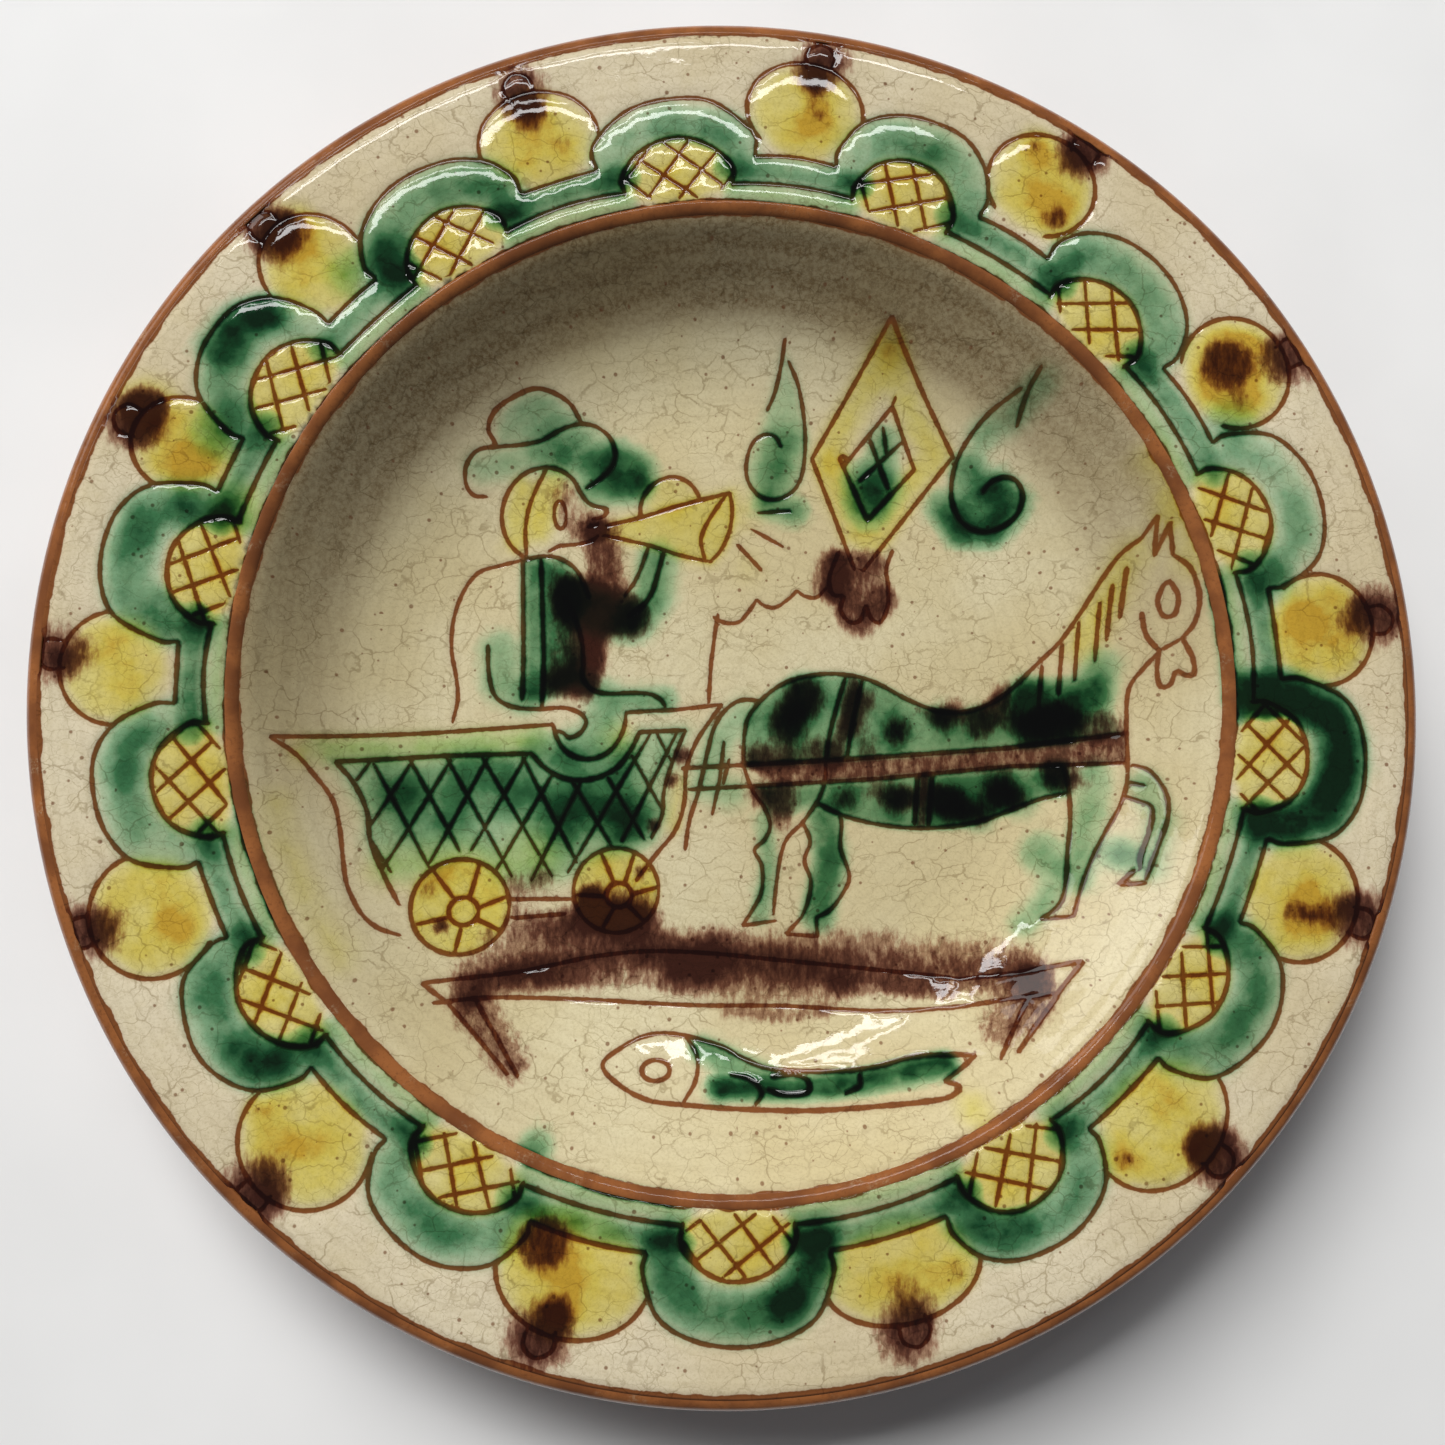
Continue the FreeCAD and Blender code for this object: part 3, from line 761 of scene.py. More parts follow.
def bench(art):
    """Long brown bench or bridge under the cart and horse."""
    art.engrave(
        curve(
            (-64, -59), (-45, -57.4), (-30, -54.6), (-18, -53.5), (-5, -54), (10, -55.5), (25, -57),
            (40, -58.5), (48, -59.3),
        ),
        line((48, -59.3), (58, -58), (71.5, -55)),
        curve(
            (-61.5, -62.9), (-50, -62.4), (-30, -63.4), (-10, -64.7), (10, -65), (30, -66), (45, -65.1),
            (56, -63.2), (66, -61.5),
        ),
        line((-64, -59), (-59.4, -62.6)), line((71.5, -55), (66, -61.5)),
        line((-59, -62.8), (-52.5, -70), (-46.3, -77)), line((-53.3, -63), (-44.3, -77.5)),
        line((60.3, -63), (53.5, -74.5)), line((66, -61.8), (57, -73)),
    )
    board = curve(
        (-56, -60), (-45, -57), (-30, -54), (-18, -52), (-5, -54), (10, -55), (25, -56), (40, -58),
        (60, -58),
    )
    art.brown(0.44, 3, 4, *board - (0, 1.5))
    art.brown(0.44, 4.2, 5, *curve((-54, -57), (-42, -53), (-30, -50), (-18, -51), (-6, -55)))
    art.brown(0.46, 3.6, 5, *curve((-4, -52), (12, -53), (26, -52.6), (38, -54), (52, -54.6), (61, -56)))
    art.brown(0.3, 2, 4, (-46, -58.4), (-20, -57), (-8, -58.5))
    art.brown(0.42, 3.4, 4, (-12, -59.6), (6, -61.2), (22, -61))
    art.brown(0.36, 1.2, 3, (-40, -60.4), (-16, -60.6))
    art.brown(0.4, 1.6, 3, (22, -60.4), (44, -62.2))
    art.brown(0.46, 2.6, 4, (-46, -47), (-32, -48), (-20, -47))
    art.brown(0.5, 2.2, 4, (-46, -40), (-40, -38))
    art.brown(0.5, 1, 3, (-2, -66.4), (10, -67), (20, -66.6))
    art.brown(0.5, 3.4, 4, (-54, -65), (-50, -69), (-45.6, -75))
    art.brown(0.5, 3.6, 4, (63, -60), (61, -64), (54, -69))


def fish(art):
    """Fish lying under the bench."""
    art.engrave(
        curve(
            (-10, -70.9), (-15, -70.3), (-19, -70.9), (-23, -72.6), (-27.5, -76.1), (-24, -80),
            (-18, -83), (-11, -84),
        ),
        curve(
            (-11, -84), (0, -84.9), (15, -85.2), (30, -84), (41, -82.4), (44.2, -81), (45, -79.8),
            (42.2, -79.2),
        ),
        curve(
            (-10, -70.9), (-3, -73), (2, -75.6), (8, -77.6), (20, -77.9), (29, -76.9), (38, -74.6),
            (49, -74),
        ),
        curve((49, -74), (45.6, -76.8), (42.2, -79.2)),
        curve((-10.2, -70.9), (-7.9, -75), (-8.3, -79.6), (-10.9, -83.6)), oval(-16.5, -77.5, 2.9, 2),
        curve((7.6, -79), (12, -78.6), (15, -79.8), (14.6, -82), (10, -82.4), (6.6, -81.4)),
        curve((-1, -78.6), (3, -79.4), (5.4, -82), (4, -84)),
        curve((25.6, -78.6), (25.4, -80.6), (22.4, -82)),
    )
    art.green(0.4, 2, 3, (-7, -73.6), (1, -77), (7, -79.4))
    art.green(0.85, 1.7, 2.4, (-3, -81), (14, -81.3), (26, -79.8), (43, -76))
    art.green(0.3, 2, 3, (-4, -81))


# ---------------------------------------------------------------- fields on a face
FAR = 3.0  # no line is felt further away than this
CHUNK = 2_000_000  # how many distances are worked out at once


def box_around(plan, path, reach):
    """Indices of the plan points in a path's box, grown by so much."""
    return np.flatnonzero(((plan > path.min(0) - reach) & (plan < path.max(0) + reach)).all(1))


def distances(points, path):
    """Each point's distance to a path, the length along it to that nearest place, and its whole length."""
    start, run = path[:-1], np.diff(path, axis=0)
    square = np.maximum((run**2).sum(1), 1e-9)
    length = np.sqrt(square)
    along = np.cumsum(length) - length
    gaps, places = np.empty((2, len(points)))
    for part in np.array_split(np.arange(len(points)), len(points) * len(run) // CHUNK + 1):
        away = points[part][:, None] - start
        t = np.clip((away * run).sum(2) / square, 0, 1)
        gap = np.sqrt(((away - t[..., None] * run) ** 2).sum(2))
        row, nearest = np.arange(len(part)), gap.argmin(1)
        gaps[part] = gap[row, nearest]
        places[part] = along[nearest] + t[row, nearest] * length[nearest]
    return gaps, places, length.sum()


def line_field(plan, strokes):
    """Distance from each plan point to the nearest stroke's edge, negative inside it."""
    near = np.full(len(plan), FAR)
    for stroke, half in strokes:
        index = box_around(plan, stroke, FAR)
        gap, place, total = distances(plan[index], stroke)
        pressed = half * (1 + 0.1 * np.sin(place * 0.9 + half * 40) + 0.06 * np.sin(place * 2.7))
        pressed -= 0.12 * np.exp(-np.minimum(place, total - place))
        near[index] = np.minimum(near[index], gap - pressed)
    return near


def smooth_step(low, high, value):
    """A smooth rise from 0 to 1 between two values."""
    t = np.clip((value - low) / (high - low), 0, 1)
    return t * t * (3 - 2 * t)


def stain_field(plan, stains, tone):
    """How much of one stain lies at each plan point."""
    amount = np.zeros(len(plan))
    for kind, strength, path, radius, soft, filled in stains:
        if kind != tone:
            continue
        index = box_around(plan, path, radius + soft)
        gap = distances(plan[index], np.vstack([path, path[:1]]) if filled else path)[0]
        if filled:
            gap[inside(plan[index], path)] *= -1
        amount[index] += strength * (1 - smooth_step(-soft * 0.7, soft * 0.8, gap - radius))
    return amount


# ---------------------------------------------------------------- meshes of the painted faces
EDGE_STEPS = 720
GRID = 2.1  # between the points of the plain face
CELL = 0.3  # no two points are closer than about this
EDGE_ROWS = (0.4, 0.85, 1.4, 2.1, 3.0, 4.2)  # rings of points inside a face's edge
STROKE_ROWS = ((0, 0.75), (0.46, 0.62), (0.95, 0.9), (1.7, 1.5))  # (distance to a side, step along)
COAT_DEPTH = 0.62  # of the painted pieces, just short of the two coats
FACE_SPAN = 300.0  # what the whole bake covers
UNDER_SHARE = 0.15  # of the bake's width, for a piece's underside
UNDER_PLACE = 0.078  # of its middle, in the bake's corner


def ring_points(radius, steps=EDGE_STEPS):
    """Points round the axis."""
    a = np.arange(steps) * 2 * math.pi / steps
    return radius * np.column_stack([np.cos(a), np.sin(a)])


def thinned(points, cell=CELL):
    """Points with only the first kept in each cell of two overlapping grids."""
    for shift in (0.0, 0.5):
        key = np.floor(points / cell + shift).astype(np.int64)
        _, first = np.unique(key[:, 0] * 1_000_003 + key[:, 1], return_index=True)
        points = points[np.sort(first)]
    return points


def beside(stroke, offset, step):
    """Points along a stroke at an offset to one side."""
    run = np.diff(stroke, axis=0)
    length = np.linalg.norm(run, axis=1)
    along = np.concatenate([[0], np.cumsum(length)])
    middle = (along[1:] + along[:-1]) / 2
    s = np.linspace(0, along[-1], max(2, int(along[-1] / step) + 1))
    x, y = (np.interp(s, along, stroke[:, k]) for k in (0, 1))
    slope_x, slope_y = (np.interp(s, middle, run[:, k] / length) for k in (0, 1))
    return np.column_stack([x - slope_y * offset, y + slope_x * offset])


def face_points(strokes, inner, outer):
    """Plan points of a face: close together along its strokes and wide apart elsewhere."""
    sides = [(sign * offset, step) for offset, step in STROKE_ROWS for sign in ((1, -1) if offset else (1,))]
    dense = thinned(np.vstack([beside(stroke, *side) for side in sides for stroke, _ in strokes]))
    r = np.hypot(*dense.T)
    dense = dense[(r > inner + 0.5) & (r < outer - 0.5)]
    count = int(outer / GRID * 1.16) + 2
    i, j = np.meshgrid(np.arange(-count, count + 1), np.arange(-count, count + 1))
    wide = np.column_stack([(i + 0.5 * (j % 2)).ravel() * GRID, j.ravel() * GRID * math.sqrt(3) / 2])
    r = np.hypot(*wide.T)
    margin = EDGE_ROWS[-1] + 1
    wide = wide[((r > inner + margin) | (inner == 0)) & (r < outer - margin)]
    near_edge = [inner + step for step in EDGE_ROWS if inner] + [outer - step for step in EDGE_ROWS]
    counts = [EDGE_STEPS - 60 * (k % len(EDGE_ROWS)) for k in range(len(near_edge))]
    rings = [ring_points(*ring) for ring in zip(near_edge, counts)]
    extra = np.vstack([*rings, wide])
    extra = extra[line_field(extra, strokes) > STROKE_ROWS[-1][0]]
    return thinned(np.vstack([dense, extra]))


def triangles(points, edges):
    """Delaunay triangles of plan points, with the points as the triangulation returns them."""
    made = delaunay_2d_cdt([Vector(p) for p in points], edges, [], 0, 1e-5)
    return np.array([tuple(v) for v in made[0]]), np.array(made[2])


def place_object(name, data):
    """A new object in the scene."""
    obj = bpy.data.objects.new(name, data)
    bpy.context.collection.objects.link(obj)
    return obj


def add_mesh(name, points, faces, uv):
    """A smooth Blender object from points in millimetres, faces and one UV pair per face corner."""
    mesh = bpy.data.meshes.new(name)
    mesh.from_pydata((np.asarray(points) * MM).tolist(), [], [tuple(map(int, f)) for f in faces])
    layer = mesh.uv_layers.new(name="OFBake")
    layer.data.foreach_set("uv", np.asarray(uv, float).ravel())
    mesh.polygons.foreach_set("use_smooth", [True] * len(mesh.polygons))
    mesh.update()
    return place_object(name, mesh)


def slip_edge(r):
    """How far inside the white slip's edges a radius lies."""
    return np.maximum(WELL_EDGE_R - r, np.minimum(r - RING_EDGE_R, LIP_EDGE_R - r))


def glazed_face(plan, gap, pillow):
    """The face's points, with a groove along each line, a wide dip towards it, ripples and slip edges."""
    r = np.hypot(*plan.T)
    groove = 0.13 * (1 - smooth_step(-0.42, 0.34, gap)) + pillow * (1 - smooth_step(0, 2.8, gap))
    ripple = 0.015 + 0.035 * smooth_step(60, 95, r) * (r < RING_R)
    ripple *= np.sin(r * 2 * math.pi / 3.7 + 0.6 * np.sin(np.arctan2(plan[:, 1], plan[:, 0]) + r * 0.05))
    lift = ripple - groove - 0.3 * (1 - smooth_step(-0.2, 1.1, slip_edge(r)))
    return np.column_stack([plan, face_height(r)]) + face_normal(plan) * lift[:, None]


def painted_face(name, art, inner, outer):
    """A closed thin solid with the engraved, painted face between two radii on top."""
    spans = [(np.hypot(*stroke.T), stroke, half) for stroke, half in art.strokes]
    strokes = [(s, half) for r, s, half in spans if r.max() > inner - 1 and r.min() < outer + 1]
    rings = [ring_points(radius) for radius in (outer, inner) if radius]
    loops = [k * EDGE_STEPS + np.arange(EDGE_STEPS) for k in range(len(rings))]
    edges = [pair for loop in loops for pair in zip(loop.tolist(), np.roll(loop, -1).tolist())]
    plan, faces = triangles(np.vstack([*rings, face_points(strokes, inner, outer)]), edges)
    faces = faces[np.hypot(*plan[faces].mean(1).T) > inner * 0.9999]
    gap = line_field(plan, strokes)
    points = [glazed_face(plan, gap, 0.20 if inner else 0.035)]
    # the underside follows the plain face, deeper by the coats' thickness
    radii = np.linspace(outer, inner, 12) if inner else np.linspace(outer, 0, 14)[:-1]
    depths = face_height(radii) - COAT_DEPTH
    points += [np.column_stack([ring_points(r), np.full(EDGE_STEPS, z)]) for r, z in zip(radii, depths)]
    loops[1:1] = [len(plan) + k * EDGE_STEPS + np.arange(EDGE_STEPS) for k in range(len(radii))]
    under = [
        np.column_stack([high, low, np.roll(low, -1), np.roll(high, -1)])
        for high, low in zip(loops, loops[1:])
    ]
    if not inner:
        middle = np.full(EDGE_STEPS, len(plan) + len(radii) * EDGE_STEPS)
        points.append([[0, 0, FLOOR_Z - COAT_DEPTH]])
        under.append(np.column_stack([loops[-1], middle, np.roll(loops[-1], -1)]))
    points = np.vstack(points)
    # the face fills the bake, and the plain underside takes a corner of it
    place = points[:, :2] / FACE_SPAN
    uv = [place[faces].reshape(-1, 2) + 0.5]
    uv += [place[part].reshape(-1, 2) * UNDER_SHARE + UNDER_PLACE for part in under]
    obj = add_mesh(name, points, [f for part in (faces, *under) for f in part], np.vstack(uv))
    fields = {"line": gap, **{tone: stain_field(plan, art.stains, tone) for tone in STAINS}}
    for key, values in fields.items():
        layer = obj.data.attributes.new(key, "FLOAT", "POINT")
        layer.data.foreach_set("value", np.pad(values, (0, len(points) - len(plan))))
    return obj


# ---------------------------------------------------------------- turned pieces
BAKE_R = 0.48  # of a turned piece's outline, spread round the middle of its bake


def turned_piece(name, profile, steps, uv_from=0.0, closed=True):
    """A solid turned about the axis from (radius, height) points, open only if it ends on the axis."""
    p = np.array(profile, float)
    points = [np.column_stack([ring_points(r, steps), np.full(steps, z)]) for r, z in p]
    reach = uv_from + np.cumsum([0, *np.linalg.norm(np.roll(p, -1, axis=0) - p, axis=1)])
    reach *= BAKE_R / reach[-1]
    around, unit = np.arange(steps), ring_points(1, steps)
    after = np.roll(around, -1)
    faces, uv = [], []
    for k in range(len(p) if closed else len(p) - 1):
        this, other = k * steps, (k + 1) % len(p) * steps
        faces.append(np.column_stack([this + around, this + after, other + after, other + around]))
        near, far = unit * reach[k], unit * reach[k + 1]
        uv.append(0.5 + np.stack([near, near[after], far[after], far], 1).reshape(-1, 2))
    obj = add_mesh(name, np.vstack(points), np.vstack(faces), np.vstack(uv))
    if not closed:
        poles = bmesh.new()
        poles.from_mesh(obj.data)
        bmesh.ops.remove_doubles(poles, verts=poles.verts, dist=1e-7)
        poles.to_mesh(obj.data)
        poles.free()
    return obj


def arc(r, z, radius, start, end, steps):
    """Points of a profile's round corner."""
    a = np.radians(np.linspace(start, end, steps))
    return np.column_stack([r + radius * np.cos(a), z + radius * np.sin(a)])


def ridged(start, end, steps, pitch, depth):
    """A profile's straight run with the low ridges that a turning tool leaves."""
    t = np.linspace(0, 1, steps + 2)[1:-1]
    start, run = np.array(start), np.array(end) - start
    length = np.linalg.norm(run)
    side = np.array([-run[1], run[0]]) / length
    wave = depth * np.sin(t * length * 2 * math.pi / pitch) * np.sin(t * math.pi) ** 0.5
    return start + run * t[:, None] + side * wave[:, None]


def thrown_body():
    """The fired clay body, with turning marks on its back and a turned foot ring."""
    wall, rim = math.degrees(WALL_ANGLE), math.degrees(RIM_SLOPE)
    outer_wall = CORNER_Z - WALL_THICK / math.cos(WALL_ANGLE)
    base_r = CORNER_R - (outer_wall - FOOT_HEIGHT) / math.tan(WALL_ANGLE)
    edge_r = base_r - BASE_EDGE_R * math.tan(WALL_ANGLE / 2)
    foot_r = base_r - FOOT_INSET
    foot_in = foot_r - FOOT_WIDTH

    def under_rim(r):
        return CORNER_Z - RIM_THICK / math.cos(RIM_SLOPE) + (r - CORNER_R) * math.tan(RIM_SLOPE)

    lift = under_rim(CORNER_R) - outer_wall
    meet_r = CORNER_R + lift / (math.tan(WALL_ANGLE) - math.tan(RIM_SLOPE))
    reach = UNDER_R * math.tan((WALL_ANGLE - RIM_SLOPE) / 2)
    turn_r = meet_r - reach * math.cos(WALL_ANGLE) + UNDER_R * math.sin(WALL_ANGLE)
    turn_z = under_rim(meet_r) - reach * math.sin(WALL_ANGLE) - UNDER_R * math.cos(WALL_ANGLE)
    middle = np.linspace(0, foot_in - 0.6, 48)
    spiral = 0.12 * np.sin(middle * 2 * math.pi / 5.2) * smooth_step(1, 6, middle)
    base_end = arc(edge_r, FOOT_HEIGHT + BASE_EDGE_R, BASE_EDGE_R, -90, wall - 90, 8)
    wall_end = arc(turn_r, turn_z, UNDER_R, 90 + wall, 90 + rim, 9)
    rim_end = (LIP_MID_R - 0.4, under_rim(LIP_MID_R - 0.4))
    top = np.concatenate([
        np.linspace(RIM_SLIP_R - 0.6, CORNER_R + 3, 12),
        np.linspace(CORNER_R + 2, CORNER_R - 4, 13),
        np.linspace(CORNER_R - 6, 0, 22),
    ])
    rows = [
        np.column_stack([middle, FOOT_HEIGHT + spiral]),
        arc(foot_in - 0.6, FOOT_HEIGHT - 0.6, 0.6, 90, 0, 4),
        arc(foot_in + FOOT_EDGE_R, FOOT_EDGE_R, FOOT_EDGE_R, 180, 270, 5),
        arc(foot_r - FOOT_EDGE_R, FOOT_EDGE_R, FOOT_EDGE_R, 270, 360, 5),
        arc(foot_r + 0.6, FOOT_HEIGHT - 0.6, 0.6, 180, 90, 4),
        np.column_stack([np.linspace(foot_r + 1.4, edge_r - 0.6, 10), np.full(10, FOOT_HEIGHT)]),
        base_end,
        ridged(base_end[-1], wall_end[0], 34, 3.4, 0.16),
        wall_end,
        ridged(wall_end[-1], rim_end, 40, 5.0, 0.12),
        arc(LIP_MID_R, under_rim(LIP_MID_R) + LIP_R, LIP_R, rim - 88, 0, 8),
        arc(LIP_MID_R, LIP_MID_Z, LIP_R, 0, 88, 8),
        np.column_stack([top, face_height(top) - COAT - 0.02]),
    ]
    return turned_piece("thrown_body", np.vstack(rows), 240, closed=False)


def glazed_ring():
    """The ring of bare clay under glaze between the well's slip and the rim's."""
    low, high = WELL_SLIP_R, RING_R
    r = np.array([low - 0.3, low, low + 0.5, CORNER_R, high - 0.5, high, high + 0.3])
    top = face_height(r) - np.array([0.46, 0.31, 0.26, 0.24, 0.26, 0.31, 0.46])
    under = face_height(r[::-1]) - COAT + 0.02
    return turned_piece("glazed_ring", [*zip(r, top), *zip(r[::-1], under)], EDGE_STEPS, uv_from=low)


def glazed_lip():
    """The wiped lip, clay under glaze, half way down its outer side."""
    start = RIM_SLIP_R - 0.5
    end_z = LIP_MID_Z - 0.4
    profile = [
        (start, rim_line(start) - 0.5),
        *arc(LIP_MID_R, LIP_MID_Z, PLATE_R - LIP_MID_R, 94, 0, 16),
        (PLATE_R, end_z + 0.12),
        (PLATE_R - 0.1, end_z),
        (BODY_R + 0.02, end_z),
        *arc(LIP_MID_R, LIP_MID_Z, LIP_R + 0.02, 0, 98, 12),
    ]
    return turned_piece("glazed_lip", profile, EDGE_STEPS, uv_from=RIM_SLIP_R)


# ---------------------------------------------------------------- materials
SLIP = (0.598, 0.535, 0.350)
SLIP_WARM = (0.528, 0.450, 0.258)
# a lighter, bluer copy of the same slip for the rim: painted light
RIM_SLIP = (0.625, 0.553, 0.400)
RIM_WARM = (0.555, 0.474, 0.310)
SLIP_SHADE = (0.330, 0.265, 0.150)
# tone of the painted shade on the well's upper wall
WALL_PAINTED_SHADE = (0.170, 0.112, 0.048)
CRAZING = (0.42, 0.36, 0.26)
CLAY_LINE = (0.175, 0.060, 0.017)
CLAY_GLAZED = (0.270, 0.096, 0.028)
CLAY_DARK = (0.150, 0.050, 0.016)
CLAY_RAW = (0.43, 0.175, 0.088)
CLAY_PALE = (0.52, 0.27, 0.16)
FLOOR_PALE = (0.735, 0.74, 0.745)
FLOOR_GREY = (0.70, 0.705, 0.71)
# what each strength of stain lets through, as (strength, colour)
STAINS = {
    "green": [
        (0, (1, 1, 1)),
        (0.14, (0.60, 0.86, 0.78)),
        (0.30, (0.290, 0.590, 0.460)),
        (0.50, (0.065, 0.270, 0.155)),
        (0.75, (0.009, 0.090, 0.042)),
        (1, (0.003, 0.026, 0.012)),
    ],
    "yellow": [
        (0, (1, 1, 1)),
        (0.35, (0.95, 0.95, 0.50)),
        (0.7, (0.89, 0.83, 0.22)),
        (1, (0.76, 0.54, 0.08)),
    ],
    "brown": [
        (0, (1, 1, 1)),
        (0.3, (0.54, 0.37, 0.34)),
        (0.65, (0.205, 0.088, 0.076)),
        (1, (0.060, 0.018, 0.015)),
    ],
}


class Shader:
    """A material's node tree, with short ways to add to it."""

    def __init__(self, name):
        self.material = bpy.data.materials.new(name)
        self.material.use_nodes = True
        self.tree = self.material.node_tree
        self.tree.nodes.clear()
        where = self.node("TexCoord").outputs["Object"]
        self.mm = self.vector("SCALE", where, Scale=1 / MM)
        flat = self.vector("MULTIPLY", self.mm, (1, 1, 0))
        self.radius = self.vector("LENGTH", flat, output="Value")

    def node(self, kind, settings=(), inputs=()):
        made = self.tree.nodes.new("ShaderNode" + kind)
        for key, value in dict(settings).items():
            setattr(made, key, value)
        for key, value in dict(inputs).items():
            self.feed(made.inputs[key], value)
        return made

    def feed(self, socket, value):
        """Links a socket to another, or sets its value."""
        if isinstance(value, bpy.types.NodeSocket):
            self.tree.links.new(value, socket)
        elif socket.type == "RGBA":
            socket.default_value = (*value, 1)
        else:
            socket.default_value = value

    def vector(self, operation, *values, output="Vector", **named):
        inputs = {**dict(enumerate(values)), **named}
        return self.node("VectorMath", {"operation": operation}, inputs).outputs[output]

    def math(self, operation, *values, clamp=False):
        return self.node("Math", {"operation": operation, "use_clamp": clamp}, enumerate(values)).outputs[0]

    def times(self, first, *others):
        for other in others:
            first = self.math("MULTIPLY", first, other)
        return first

    def noise(self, size, detail=3.0, stretch=None, rough=0.5, warp=0.0, output="Fac"):
        """Noise from 0 to 1 with patches about that many millimetres across."""
        where = self.vector("MULTIPLY", self.mm, stretch) if stretch else self.mm
        inputs = {"Vector": where, "Scale": 1 / size, "Detail": detail}
        inputs.update({"Roughness": rough, "Distortion": warp})
        return self.node("TexNoise", (), inputs).outputs[output]

    def ease(self, value, low, high, to_low=0.0, to_high=1.0):
        """A smooth step of a value between two levels."""
        inputs = {"Value": value, "From Min": low, "From Max": high, "To Min": to_low, "To Max": to_high}
        return self.node("MapRange", {"interpolation_type": "SMOOTHSTEP"}, inputs).outputs["Result"]

    def wheel_rings(self, per_mm, size, detail, bend):
        """Waves from -1 to 1 round the axis, bent by noise."""
        phase = self.math("ADD", self.times(self.radius, per_mm), self.times(self.noise(size, detail), bend))
        return self.math("SINE", phase)

    def blend(self, factor, a, b, way="MIX"):
        return self.node("Mix", {"data_type": "RGBA", "blend_type": way}, {0: factor, 6: a, 7: b}).outputs[2]

    def ramp(self, value, stops):
        made = self.node("ValToRGB", (), {"Fac": value})
        marks = made.color_ramp.elements
        while len(marks) < len(stops):
            marks.new(0.5)
        for mark, (place, tone) in zip(marks, stops):
            mark.position = place
            mark.color = (*tone, 1)
        return made.outputs["Color"]

    def field(self, name):
        """A value held on the mesh's points."""
        return self.node("Attribute", {"attribute_name": name}).outputs["Fac"]

    def bump(self, height, distance, **below):
        """A normal from a height and its size in millimetres, perhaps over another one's Normal."""
        inputs = {"Height": height, "Distance": distance * MM, "Strength": 1.0, **below}
        return self.node("Bump", (), inputs).outputs["Normal"]

    def finish(self, **inputs):
        """Ends in a principled surface."""
        named = {key.replace("_", " ").title().replace("Ior", "IOR"): value for key, value in inputs.items()}
        surface = self.node("BsdfPrincipled", (), named)
        self.node("OutputMaterial", (), {"Surface": surface.outputs[0]})
        return self.material


def crackle(s, size, spread, stretch):
    """Crazing: 1 on the thin, broken cracks of a net, 0 elsewhere."""
    reach = size * 1.1
    bend = s.vector("SUBTRACT", s.noise(reach, 4.0, output="Color"), (0.5, 0.5, 0.5))
    bent = s.vector("ADD", s.mm, s.vector("SCALE", bend, Scale=reach))
    where = s.vector("MULTIPLY", bent, stretch)
    net = s.node("TexVoronoi", {"feature": "DISTANCE_TO_EDGE"}, {"Vector": where, "Scale": 1 / size})
    shown = s.ease(s.noise(spread, 3), 0.40, 0.60, 0.25, 1.0)
    return s.times(s.ease(net.outputs["Distance"], 0.006, 0.034, 1.0, 0.0), shown)


def specks(s, size, threshold):
    """Scattered dots with soft edges."""
    layout = {"feature": "F1", "voronoi_dimensions": "2D"}
    dots = s.node("TexVoronoi", layout, {"Vector": s.mm, "Scale": 1 / size, "Randomness": 1.0})
    chance = s.node("TexWhiteNoise", {"noise_dimensions": "3D"}, {"Vector": dots.outputs["Position"]})
    reach = s.node("MapRange", (), {"Value": chance.outputs["Value"], "From Min": threshold, "To Max": 0.2})
    return s.ease(s.math("SUBTRACT", dots.outputs["Distance"], reach.outputs["Result"]), -0.1, 0.0, 1.0, 0.0)


def painted_wall_shade(s, rim):
    """Painted shade up the well's wall, mostly on the scene's upper side, which faces away from the light,
    in the wheel's streaks.
    """
    wall = s.times(s.ease(s.radius, 77, 87), s.math("SUBTRACT", 1.0, rim))
    upward = s.vector("DOT_PRODUCT", s.mm, (-0.17, 0.985, 0.0), output="Value")
    shade_patches = s.ease(s.noise(1.1, 4, rough=0.75), 0.36, 0.66, 0.72, 1.18)
    streaks = s.ease(s.wheel_rings(1.2, 34, 5, 16.0), -0.8, 1.0, 0.89, 1.05)
    return s.times(wall, s.ease(upward, -23, 78, 0.08, 0.84), shade_patches, streaks)


def white_slip(s):
    """The bare slip's tone, with painted light on the rim, painted shade up the well's wall, specks, wheel
    rings and grain.
    """
    patches = s.ease(s.noise(38, 4), 0.35, 0.68)
    rim = s.ease(s.radius, CORNER_R - 1, CORNER_R + 1)
    # the rim takes the lighter copy of the slip, painted light
    tone = s.blend(rim, s.blend(patches, SLIP, SLIP_WARM), s.blend(patches, RIM_SLIP, RIM_WARM))
    tone = s.blend(s.ease(s.noise(5, 5, rough=0.62), 0.45, 0.8, 0.0, 0.35), tone, SLIP_WARM)
    # painted shade: the well's wall darkened, most on its upper side, where the light doesn't reach
    tone = s.blend(painted_wall_shade(s, rim), tone, WALL_PAINTED_SHADE)
    tone = s.blend(s.times(specks(s, 2.9, 0.74), 0.80), tone, CLAY_DARK)
    tone = s.blend(s.ease(s.wheel_rings(2.1, 30, 3, 4.0), 0.0, 1.0, 0.0, 0.10), tone, SLIP_SHADE)
    return s.blend(s.ease(s.noise(0.6, 4, rough=0.8), 0.42, 0.76, 0.0, 0.50), tone, SLIP_SHADE)


